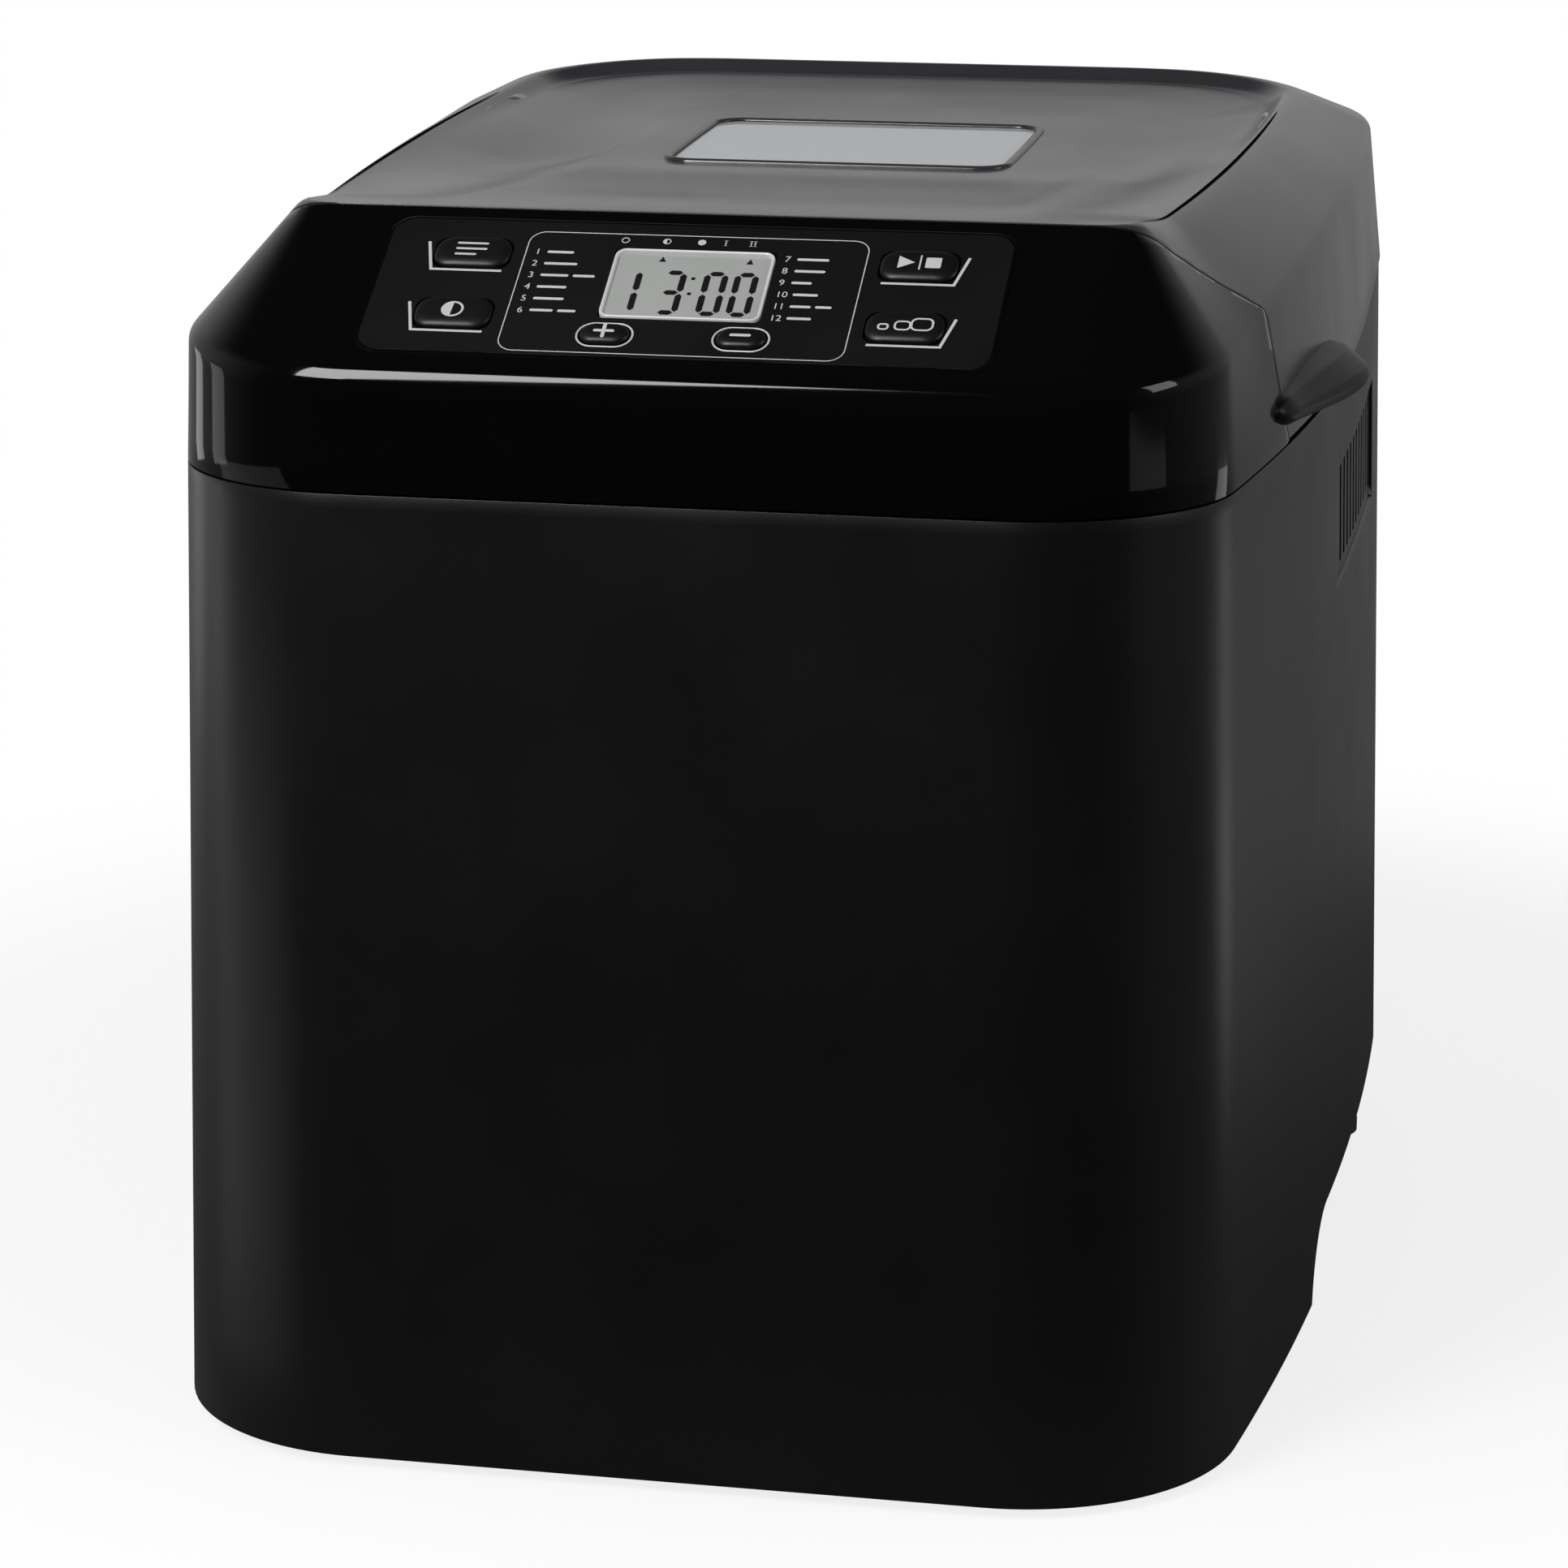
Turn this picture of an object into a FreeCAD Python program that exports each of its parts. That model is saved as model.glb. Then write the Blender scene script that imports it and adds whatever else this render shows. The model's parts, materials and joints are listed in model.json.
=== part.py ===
import FreeCAD
import Part
import math
import os

# Bread machine with a front control panel and a rear-hinged lid.
# Millimetres, +Z up, front towards -Y. The origin is on the floor under the middle of the body.
# "Depth" is the distance back from the front plane of the body.

V = FreeCAD.Vector

# Outer body
body_width = 240.0
body_depth = 320.0
seam_height = 209.5
wall = 3.0
side_bow = 1480.0
widest_at = 206.0
front_corner = 43.0
rear_corner = 45.0
floor_flare = 5.0
shell_lift = 2.5
tail_start = 127.0
tail_length = 23.0
tail_lift = 20.0
tail_knee = 12.6
seam_gap = 0.5
fit_gap = 0.2
moving_gap = 0.3
running_gap = 0.05

# Sloped panel, brow line and lid top
band_height = 25.0
brow_rear_drop = 2.75
panel_depth = 44.4
panel_rise = 27.5
top_tilt = 0.6
top_inset = 22.7
top_corner = 34.0
crest_inset = 21.3
dish_fall = 3.5
dish_rise = 2.15
dish_margin = 12.0
dish_step = 0.4
dish_depth = 7.5
rim_width = 5.0
hip_at = 76.0
lean_at = 93.6
lid_lip = 2.0
rise_run = 172.0
rise_height = 14.0

# Side vents
vent_back = 153.5
vent_drop = 43.0
vent_tall = 22.5
vent_width = 3.0
vent_pitch = 7.0
vent_slant = 3.0
vent_count = 12
vent_recess = 0.8
vent_border = 3.0

# Control plate, buttons and display, measured along the panel slope
plate_width = 131.0
plate_low = 6.4
plate_high = 3.8
plate_corner = 5.0
plate_thick = 1.5
plate_proud = 0.3
button_inset = 19.0
button_width = 16.0
button_tall_share = 0.214
button_corner = 2.5
upper_share = 0.733
lower_share = 0.286
step_button_x = 14.0
step_button_width = 11.5
step_tall_share = 0.167
step_share = 0.167
button_proud = 1.2
button_travel = 0.8
flange_lip = 1.5
flange_thick = 1.5
stem_radius = 2.0
display_width = 33.5
display_tall_share = 0.51
display_share = 0.55
display_ledge = 1.2
display_border = 3.0
board_gap = 10.0
board_end = 3.5
board_thick = 1.6
board_margin = 2.0
board_post_margin = 4.0
post_radius = 3.0
switch_size = 6.0
switch_tall = 5.0
small_screw = 1.25
small_head = 2.4
small_head_tall = 1.5

# Base plate and feet
base_clear = 4.0
base_thick = 2.5
leg_radius = 9.0
foot_radius = 10.0
foot_tall = 3.0
front_foot_x = 80.0
rear_foot_x = 110.5
foot_front = 45.0
foot_rear = 58.0
screw_radius = 1.75
screw_head = 3.5
screw_head_tall = 2.0
screw_length = 14.0
base_post = 6.0

# Top deck, chamber and heater
deck_drop = 1.5
deck_thick = 3.0
motor_bay = 73.0
side_bay = 32.0
bay_wall_gap = 1.7
bay_gap = 1.5
bay_wall_thick = 2.0
bay_wall_tall = 42.0
deck_post_x = 98.0
deck_post_front = 60.0
deck_post_rear = 52.0
deck_post_radius = 5.0
chamber_floor = 52.0
chamber_wall = 1.0
chamber_corner = 14.0
chamber_flange = 3.5
flange_sheet = 0.8
element_radius = 3.2
element_level = 68.0
element_gap = 5.0
element_bend = 8.0
element_terminal = 45.0
element_tail = 12.0
clip_width = 8.0
sensor_level = 120.0
sensor_radius = 3.0
sensor_length = 9.0
sensor_head = 6.0
sensor_head_thick = 4.0

# Bread pan, its handle and its drive
pan_floor = 76.0
pan_rim_drop = 9.0
pan_wall = 1.2
pan_side_gap = 17.0
pan_end_gap = 22.0
pan_corner = 12.0
rim_bead = 2.0
rim_tall = 2.4
pan_base_radius = 44.0
pan_base_wall = 3.0
pan_seat_gap = 0.1
clip_tall = 15.0
clip_sheet = 0.8
clip_gap = 0.4
ear_length = 3.0
ear_radius = 2.0
ear_drop = 12.0
handle_wire = 1.8
handle_bend = 14.0
shaft_radius = 4.0
shaft_top = 104.0
pan_bush_radius = 9.0
pan_bush_low = 72.5
pan_bush_high = 84.0
coupling_radius = 16.0
coupling_thick = 3.0
dog_width = 6.0
dog_tall = 5.0
dog_play = 3.0
lower_coupling_at = 59.0
hub_radius = 8.0
hub_tall = 19.0
blade_length = 42.0
blade_thick = 4.0
blade_tall = 22.0
flat_depth = 1.0

# Belt drive and motor
belt_level = 33.0
pulley_radius = 40.0
pulley_tall = 9.0
pulley_web = 3.0
pulley_rim = 4.0
pulley_hub = 9.0
motor_pulley_radius = 8.0
belt_thick = 2.0
belt_tall = 5.0
belt_groove = 1.5
bearing_flange = 22.0
bearing_flange_thick = 4.0
bearing_outer = 11.0
bearing_low = 40.0
bearing_high = 57.5
bush_wall = 2.5
bush_tall = 6.0
collar_radius = 6.5
collar_tall = 1.0
motor_radius = 27.0
motor_tall = 62.0
motor_clear = 34.0
motor_shaft_radius = 3.0
motor_boss = 8.0
bracket_level = 44.0
bracket_thick = 2.5
bracket_half = 36.0
bracket_leg = 5.0
motor_screw_ring = 18.0

# Power board
power_at = 78.0
power_length = 110.0
power_low = 48.0
power_tall = 80.0
power_thick = 1.6
power_sheet = 1.5
power_standoff = 5.0
power_setback = 6.0
power_inset = 8.0

# Lid inner parts and window
liner_clear = 4.5
liner_thick = 2.0
liner_corner = 22.0
liner_margin = 1.5
liner_top_gap = 0.3
seal_width = 4.5
seal_margin = 1.0
window_back = 92.4
window_width = 80.6
window_tall = 60.8
window_corner = 7.0
pane_thick = 2.4
pane_sink = 0.2
glass_margin = 5.0
glass_thick = 2.5
glass_seal = 1.0
tunnel_wall = 2.0
tab_start = 94.0
tab_length = 86.0
tab_reach = 8.0
tab_lift = 1.5
tab_tall = 13.0
tab_round = 5.0

# Lid hinge
hinge_offset = 5.5
knuckle_radius = 4.5
pin_radius = 2.0
arm_inner = 44.0
arm_width = 12.0
knuckle_width = 10.0
knuckle_gap = 1.0
arm_tall = 12.0
bracket_drop = 13.0

# Mains cable gland
gland_x = -60.0
gland_height = 60.0
gland_radius = 8.0
gland_bore = 4.0
gland_flange = 11.0
gland_flange_thick = 3.0
gland_length = 14.0

# Worked-out levels and places
brow_height = seam_height + band_height
panel_height = brow_height + panel_rise
panel_slope = math.degrees(math.atan2(panel_rise, panel_depth))
panel_length = math.hypot(panel_depth, panel_rise)
half_width = body_width / 2
crest_at = body_depth - crest_inset
crest_height = panel_height + math.tan(math.radians(top_tilt)) * (crest_at - panel_depth)
brow_tilt = math.degrees(math.atan2(crest_height - brow_rear_drop - brow_height, body_depth))
hip_height = brow_height + math.tan(math.radians(brow_tilt)) * hip_at
tail_end = tail_start + tail_length
rise_start = body_depth - rise_run
hinge_height = seam_height + rise_height
vent_start = body_depth - vent_back
vent_base = seam_height - vent_drop
window_at = crest_at - window_back
dish_turn = window_at - window_tall / 2 - dish_margin
dish_low = panel_height - dish_step - math.tan(math.radians(dish_fall)) * (dish_turn - panel_depth)
tab_end = tab_start + tab_length
tab_low = seam_height + tab_lift
plate_tall = panel_length - plate_low - plate_high
plate_middle = plate_low + plate_tall / 2
button_tall = plate_tall * button_tall_share
button_x = plate_width / 2 - button_inset
button_upper = plate_low + plate_tall * upper_share
button_lower = plate_low + plate_tall * lower_share
step_button_tall = plate_tall * step_tall_share
step_button_at = plate_low + plate_tall * step_share
display_tall = plate_tall * display_tall_share
display_at = plate_low + plate_tall * display_share
board_level = wall + board_gap
board_width = plate_width - 2 * board_end
board_low = plate_low + board_margin
board_tall = plate_tall - 2 * board_margin
board_post_x = (display_width / 2 + display_border + button_x - button_width / 2 - flange_lip) / 2
board_post_low = board_low + board_post_margin
board_post_high = board_low + board_tall - board_post_margin
board_rear = ((board_low + board_tall) * math.cos(math.radians(panel_slope))
              + (board_level + board_thick) * math.sin(math.radians(panel_slope)))
bay_wall_at = board_rear + bay_wall_gap
liner_edge = chamber_flange + seal_margin + seal_width + liner_margin
side_reach = body_width
deck_top = seam_height - deck_drop
deck_under = deck_top - deck_thick
base_low = tail_lift + base_clear
base_top = base_low + base_thick
chamber_half_x = half_width - wall - side_bay
chamber_front = bay_wall_at + bay_wall_thick + bay_gap + liner_edge
chamber_rear = body_depth - motor_bay
drive_depth = (chamber_front + chamber_rear) / 2
chamber_half_y = (chamber_rear - chamber_front) / 2
pan_half_x = chamber_half_x - pan_side_gap
pan_half_y = chamber_half_y - pan_end_gap
pan_rim = deck_top - pan_rim_drop
motor_depth = body_depth - wall - motor_clear
liner_low = deck_top + liner_clear
liner_top = liner_low + liner_thick
button_spots = {
    "menu_button": (-button_x, button_upper),
    "crust_button": (-button_x, button_lower),
    "start_button": (button_x, button_upper),
    "loaf_size_button": (button_x, button_lower),
    "plus_button": (-step_button_x, step_button_at),
    "minus_button": (step_button_x, step_button_at),
}
parts = {}


def y_at(depth):
    """Frame y of a depth measured back from the front plane."""
    return depth - body_depth / 2


def level(height):
    """A flat plane, as a function from y to z."""
    return lambda y: height


def tilted(height, tilt, depth):
    """A plane through the given height at the given depth, rising to the rear."""
    slope = math.tan(math.radians(tilt))
    return lambda y: height + slope * (y - y_at(depth))


def line(start, end):
    return Part.LineSegment(start, end).toShape()


def arc(start, middle, end):
    return Part.Arc(start, middle, end).toShape()


def box(x0, x1, y0, y1, z0, z1):
    return Part.makeBox(x1 - x0, y1 - y0, z1 - z0, V(x0, y0, z0))


def post(x, y, z0, z1, radius):
    return Part.makeCylinder(radius, z1 - z0, V(x, y, z0))


def tube(x, y, z0, z1, radius, bore):
    return post(x, y, z0, z1, radius).cut(post(x, y, z0, z1, bore))


def rod_x(x0, x1, y, z, radius):
    return Part.makeCylinder(radius, x1 - x0, V(x0, y, z), V(1, 0, 0))


def rounded(half_x, y0, y1, radius, z0, z1):
    """Upright block with rounded corners, centred on x = 0."""
    block = box(-half_x, half_x, y0, y1, z0, z1)
    upright = [e for e in block.Edges if abs(e.tangentAt(e.FirstParameter).z) > 0.9]
    return block.makeFillet(radius, upright)


def merged(shapes):
    """One solid from touching or overlapping shapes."""
    return shapes[0].multiFuse(shapes[1:]).removeSplitter()


def mirrored(shape):
    return shape.mirror(V(0, 0, 0), V(1, 0, 0))


def both_sides(shape):
    return Part.makeCompound([shape, mirrored(shape)])


def plan_wire(half, front, rear, front_radius, rear_radius, height):
    """Closed outline with straight ends and bowed sides; height gives z from y."""
    bow = side_bow - half_width + half
    hub_x = half - bow
    hub_y = y_at(widest_at)
    hub = V(hub_x, hub_y, 0)
    spots = []
    aims = []
    for end, radius, way in ((front, front_radius, 1), (rear, rear_radius, -1)):
        centre_y = end + way * radius
        reach = bow - radius
        centre_x = hub_x + math.sqrt(reach ** 2 - (centre_y - hub_y) ** 2)
        aim = V((centre_x - hub_x) / reach, (centre_y - hub_y) / reach, 0)
        middle = (aim + V(0, -way, 0)).normalize()
        spots.append((V(centre_x, end, 0), V(centre_x, centre_y, 0) + middle * radius, hub + aim * bow))
        aims.append(aim)
    (f_end, f_mid, f_side), (r_end, r_mid, r_side) = spots
    flank = hub + (aims[0] + aims[1]).normalize() * bow

    def right(p):
        return V(p.x, p.y, height(p.y))

    def left(p):
        return V(-p.x, p.y, height(p.y))

    edges = [
        line(left(f_end), right(f_end)),
        arc(right(f_end), right(f_mid), right(f_side)),
        arc(right(f_side), right(flank), right(r_side)),
        arc(right(r_side), right(r_mid), right(r_end)),
        line(right(r_end), left(r_end)),
        arc(left(r_end), left(r_mid), left(r_side)),
        arc(left(r_side), left(flank), left(f_side)),
        arc(left(f_side), left(f_mid), left(f_end)),
    ]
    return Part.Wire(edges)


def body_outline(inset, height):
    """The body's plan outline, moved in by inset, on the plane that height gives."""
    return plan_wire(half_width - inset, y_at(inset), y_at(body_depth - inset),
                     front_corner - inset, rear_corner - inset, height)


def flare_at(z):
    """How far the body stands out at height z, below the seam, from its outline at the seam."""
    return floor_flare * (seam_height - z) / seam_height


def envelope(inset, floor):
    """Solid of the whole outer form, moved in by inset, from the floor height up."""
    half_slope = math.radians(panel_slope) / 2
    brow_drop = inset * math.tan(math.pi / 4 - half_slope)
    shift = inset * math.tan(half_slope)
    top_plane = tilted(panel_height - inset, top_tilt, panel_depth + shift)
    sections = [
        body_outline(inset - flare_at(floor), level(floor)),
        body_outline(inset, level(seam_height)),
        body_outline(inset, tilted(brow_height - brow_drop, brow_tilt, inset)),
        plan_wire(half_width - top_inset - shift, y_at(panel_depth + shift), y_at(crest_at - shift),
                  top_corner, top_corner, top_plane),
    ]
    return Part.makeLoft(sections, True, True)


def dish(drop):
    """The hollow in the lid's top, open to the front, lowered by drop; its floor falls, then rises."""
    reach = body_depth / 10
    spread = drop * math.tan(math.pi / 8)
    half = half_width - top_inset - rim_width - dish_depth + spread
    rear = y_at(crest_at - rim_width - dish_depth + spread)
    hollows = []
    for tilt in (-dish_fall, dish_rise):
        sections = []
        for step in (0, reach):
            sections.append(plan_wire(half + step, y_at(-reach), rear + step, top_corner + step,
                                      top_corner + step, tilted(dish_low - drop + step, tilt, dish_turn)))
        hollows.append(Part.makeLoft(sections, True, True))
    return hollows[0].common(hollows[1])


def side_prism(points):
    """Solid across the whole width from side-view points (depth, z); a third value marks an arc's middle."""
    spots = [V(-side_reach, y_at(p[0]), p[1]) for p in points]
    count = len(points)
    edges = []
    i = 0
    while i < count:
        after = (i + 1) % count
        if len(points[after]) == 3:
            end = (i + 2) % count
            edges.append(arc(spots[i], spots[after], spots[end]))
            i += 2
        else:
            edges.append(line(spots[i], spots[after]))
            i += 1
    return Part.Face(Part.Wire(edges)).extrude(V(2 * side_reach, 0, 0))


def rear_seam(shift):
    """Side-view points of the seam between body and lid, from the leaning end to behind the body."""
    run = body_depth - rise_start
    radius = (run ** 2 + rise_height ** 2) / (4 * rise_height)
    turn = math.asin(run / 2 / radius) / 2
    along = radius * math.sin(turn)
    up = radius * (1 - math.cos(turn))
    low = seam_height + shift
    return [
        (lean_at, low),
        (rise_start, low),
        (rise_start + along, low + up, "arc"),
        (rise_start + run / 2, low + rise_height / 2),
        (body_depth - along, low + rise_height - up, "arc"),
        (body_depth, low + rise_height),
        (body_depth + side_reach, low + rise_height),
    ]


def panel_part(shape):
    """Moves a shape from panel coordinates (along x, up the slope, out of it) to the frame."""
    placed = shape.copy()
    placed.rotate(V(0, 0, 0), V(1, 0, 0), panel_slope)
    placed.translate(V(0, y_at(0), brow_height))
    return placed


def panel_block(x, at, width, tall, radius, low, high):
    """Rounded block in panel coordinates, centred on x and on a distance up the slope."""
    block = rounded(width / 2, -tall / 2, tall / 2, radius, low, high)
    block.translate(V(x, at, 0))
    return block


def button_size(name):
    if name in ("minus_button", "plus_button"):
        return step_button_width, step_button_tall, step_button_tall / 2 - fit_gap / 2
    return button_width, button_tall, button_corner


def screw(x, y, head_z, way, length):
    """Screw with its head's seat at head_z; way is 1 for a shank that goes up and -1 for down."""
    if way > 0:
        head = post(x, y, head_z - screw_head_tall, head_z, screw_head)
        shank = post(x, y, head_z, head_z + length, screw_radius)
    else:
        head = post(x, y, head_z, head_z + screw_head_tall, screw_head)
        shank = post(x, y, head_z - length, head_z, screw_radius)
    return merged([head, shank])


def bent_path(points, bend):
    """Wire along the points, with each inner corner rounded to the bend radius."""
    edges = []
    start = points[0]
    for before, here, after in zip(points, points[1:], points[2:]):
        to_before = (before - here).normalize()
        to_after = (after - here).normalize()
        half_angle = math.acos(to_before.dot(to_after)) / 2
        cut = bend / math.tan(half_angle)
        first = here + to_before * cut
        second = here + to_after * cut
        inward = (to_before + to_after).normalize()
        middle = here + inward * (bend / math.sin(half_angle) - bend)
        edges.append(line(start, first))
        edges.append(arc(first, middle, second))
        start = second
    edges.append(line(start, points[-1]))
    return Part.Wire(edges)


def swept_rod(points, bend, radius):
    """Round rod along a bent path."""
    path = bent_path(points, bend)
    aim = (points[1] - points[0]).normalize()
    section = Part.Wire(Part.makeCircle(radius, points[0], aim))
    return path.makePipeShell([section], True, False)


def make_shells():
    """Body shell, control housing and lid shell, split from one skin."""
    outer = envelope(0, shell_lift).cut(dish(0))
    inner = envelope(wall, 0).cut(dish(wall))
    skin = outer.cut(inner)
    high = panel_height * 2
    half_gap = seam_gap / 2
    low_points = rear_seam(-half_gap)
    body_points = [(-side_reach, low_points[0][1])] + low_points
    body_points += [(body_depth + side_reach, shell_lift), (-side_reach, shell_lift)]
    shelf = panel_height - lid_lip
    lid_points = [(panel_depth + half_gap, high), (panel_depth + half_gap, shelf), (hip_at, hip_height)]
    lid_points += rear_seam(half_gap) + [(body_depth + side_reach, high)]
    housing_points = [
        (panel_depth - half_gap, high),
        (panel_depth - half_gap, shelf - half_gap),
        (hip_at - seam_gap, hip_height - half_gap),
        (lean_at - seam_gap, seam_height + half_gap),
        (-side_reach, seam_height + half_gap),
        (-side_reach, high),
    ]
    parts["body_shell"] = finish_body(skin.common(side_prism(body_points)), outer)
    parts["control_housing"] = finish_housing(skin.common(side_prism(housing_points)))
    parts["lid_shell"] = skin.common(side_prism(lid_points)).cut(window_hole(0))
    parts["lid_tab"] = make_tab(outer)


def finish_body(shell, outer):
    """Tail lift, side vents and the gland's hole."""
    tail = side_prism([
        (tail_start, -side_reach),
        (tail_start, shell_lift),
        ((tail_start * 3 + tail_end) / 4, tail_knee, "arc"),
        (tail_end, tail_lift),
        (body_depth + side_reach, tail_lift),
        (body_depth + side_reach, -side_reach),
    ])
    rise = math.tan(math.radians(vent_slant))
    span = vent_pitch * (vent_count - 1) + vent_width
    first = vent_start - vent_border
    last = vent_start + span + vent_border
    low = vent_base - vent_border
    tall = vent_tall + 2 * vent_border
    field = side_prism([
        (first, low),
        (last, low + rise * (last - first)),
        (last, low + tall + rise * (last - first)),
        (first, low + tall),
    ])
    recess = outer.common(field).cut(envelope(vent_recess, shell_lift))
    slots = []
    for i in range(vent_count):
        depth = vent_start + i * vent_pitch
        z = vent_base + rise * i * vent_pitch
        slots.append(box(-side_reach, side_reach, y_at(depth), y_at(depth + vent_width), z, z + vent_tall))
    gland_hole = Part.makeCylinder(gland_radius + fit_gap, side_reach, V(gland_x, 0, gland_height),
                                   V(0, 1, 0))
    return shell.cut(tail).cut(recess).cut(Part.makeCompound(slots)).cut(gland_hole)


def finish_housing(shell):
    """Seat for the control plate, holes for buttons and display, and posts for the board."""
    depth = plate_thick - plate_proud
    seat = panel_block(0, plate_middle, plate_width + 2 * fit_gap, plate_tall + 2 * fit_gap,
                       plate_corner + fit_gap, -depth, wall)
    shell = shell.cut(panel_part(seat))
    for name, (x, at) in button_spots.items():
        width, tall, radius = button_size(name)
        hole = panel_block(x, at, width + 2 * moving_gap, tall + 2 * moving_gap, radius + moving_gap,
                           -2 * wall, wall)
        shell = shell.cut(panel_part(hole))
    view = panel_block(0, display_at, display_width - 2 * display_ledge, display_tall - 2 * display_ledge,
                       display_ledge, -2 * wall, wall)
    shell = shell.cut(panel_part(view))
    posts = []
    for x, at in board_posts():
        posts.append(panel_part(post(x, at, -board_level, -wall + fit_gap, post_radius)))
    shell = merged([shell] + posts)
    for x, at in board_posts():
        shell = shell.cut(panel_part(post(x, at, -board_level, -wall - small_head, small_screw)))
    return shell


def board_posts():
    spots = []
    for x in (-board_post_x, board_post_x):
        for at in (board_post_low, board_post_high):
            spots.append((x, at))
    return spots


def window_hole(inset):
    """Upright prism through the lid top where the window is, moved in by inset."""
    half_tall = window_tall / 2 - inset
    return rounded(window_width / 2 - inset, y_at(window_at - half_tall), y_at(window_at + half_tall),
                   window_corner - inset, seam_height, panel_height * 2)


def make_tab(outer):
    """Thumb tab on the lid's right side, a leaf-shaped ledge cut to the lid's own curve."""
    middle = (tab_start + tab_end) / 2
    root = half_width - 2 * wall
    tip = half_width + tab_reach
    start = V(root, y_at(tab_start), tab_low)
    end = V(root, y_at(tab_end), tab_low)
    leaf = Part.Wire([arc(start, V(tip, y_at(middle), tab_low), end), line(end, start)])
    block = Part.Face(leaf).extrude(V(0, 0, tab_tall))
    rim = [e for e in block.Edges if e.Length > tab_end - tab_start + tab_reach / 2]
    return block.makeFillet(tab_round, rim).cut(outer)


def make_controls():
    """Control plate, buttons, display and the board behind them."""
    depth = plate_thick - plate_proud
    plate = panel_block(0, plate_middle, plate_width, plate_tall, plate_corner, -depth, plate_proud)
    for name, (x, at) in button_spots.items():
        width, tall, radius = button_size(name)
        plate = plate.cut(panel_block(x, at, width + 2 * moving_gap, tall + 2 * moving_gap,
                                      radius + moving_gap, -wall, wall))
        parts[name] = make_button(x, at, width, tall, radius)
    plate = plate.cut(panel_block(0, display_at, display_width + 2 * fit_gap, display_tall + 2 * fit_gap,
                                  display_ledge + fit_gap, -wall, wall))
    parts["control_plate"] = panel_part(plate)
    parts["display_lens"] = panel_part(panel_block(0, display_at, display_width, display_tall, display_ledge,
                                                   -depth, plate_proud))
    module = panel_block(0, display_at, display_width + 2 * display_border, display_tall + 2 * display_border,
                         display_ledge, -board_level, -wall - fit_gap)
    for name in ("minus_button", "plus_button"):
        x, at = button_spots[name]
        clear = 2 * (flange_lip + moving_gap)
        module = module.cut(panel_block(x, at, step_button_width + clear, step_button_tall + clear,
                                        display_ledge, -2 * board_level, 0))
    parts["display_module"] = panel_part(module)
    board = panel_block(0, board_low + board_tall / 2, board_width, board_tall, display_ledge,
                        -board_level - board_thick, -board_level)
    screws = []
    for x, at in board_posts():
        back = -board_level - board_thick
        board = board.cut(post(x, at, back, -board_level, small_screw))
        head = post(x, at, back - small_head_tall, back, small_head)
        shank = post(x, at, back, -wall - small_head, small_screw)
        screws.append(panel_part(merged([head, shank])))
    parts["control_board"] = panel_part(board)
    parts["board_screws"] = Part.makeCompound(screws)
    switches = []
    for x, at in button_spots.values():
        half = switch_size / 2
        switches.append(panel_part(box(x - half, x + half, at - half, at + half, -board_level,
                                       -board_level + switch_tall)))
    parts["tact_switches"] = Part.makeCompound(switches)


def make_button(x, at, width, tall, radius):
    """Button cap with the flange that keeps it in and the stem that works its switch."""
    cap = panel_block(x, at, width, tall, radius, -wall - fit_gap, plate_proud + button_proud)
    seat = -wall - fit_gap
    flange = panel_block(x, at, width + 2 * flange_lip, tall + 2 * flange_lip, radius,
                         seat - flange_thick, seat)
    stem_low = -board_level + switch_tall + button_travel + running_gap
    stem = post(x, at, stem_low, -wall, stem_radius)
    return panel_part(merged([cap, flange, stem]))


def make_base():
    """Base plate with its legs, rubber feet and the cable gland."""
    inset = wall - flare_at(base_top) + fit_gap
    outline = body_outline(inset, level(base_low))
    plate = Part.Face(outline).extrude(V(0, 0, base_thick))
    legs = []
    feet = []
    for x, depth in ((front_foot_x, foot_front), (rear_foot_x, body_depth - foot_rear)):
        for side in (-1, 1):
            legs.append(post(side * x, y_at(depth), foot_tall, base_low, leg_radius))
            feet.append(post(side * x, y_at(depth), 0, foot_tall, foot_radius))
    plate = merged([plate] + legs)
    screws = []
    for x, y in base_posts():
        plate = plate.cut(post(x, y, base_low, base_top, screw_radius))
        screws.append(screw(x, y, base_low, 1, screw_length))
    parts["base_plate"] = plate
    parts["foot_pads"] = Part.makeCompound(feet)
    parts["base_screws"] = Part.makeCompound(screws)
    seat = body_depth + flare_at(gland_height - gland_flange)
    aft = V(0, 1, 0)
    flange = Part.makeCylinder(gland_flange, gland_flange_thick, V(gland_x, y_at(seat), gland_height), aft)
    start = V(gland_x, y_at(seat - gland_length), gland_height)
    body = Part.makeCylinder(gland_radius, gland_length, start, aft)
    bore = Part.makeCylinder(gland_bore, side_reach, V(gland_x, 0, gland_height), aft)
    parts["cord_gland"] = merged([flange, body]).cut(bore)


def base_posts():
    spots = []
    for x in (-1, 1):
        for y in (-1, 1):
            spots.append((x * (chamber_half_x - chamber_corner),
                          y_at(drive_depth) + y * (chamber_half_y - chamber_corner)))
    return spots


def chamber_block(inset, low, high):
    return rounded(chamber_half_x - inset, y_at(chamber_front + inset), y_at(chamber_rear - inset),
                   chamber_corner - inset, low, high)


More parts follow.
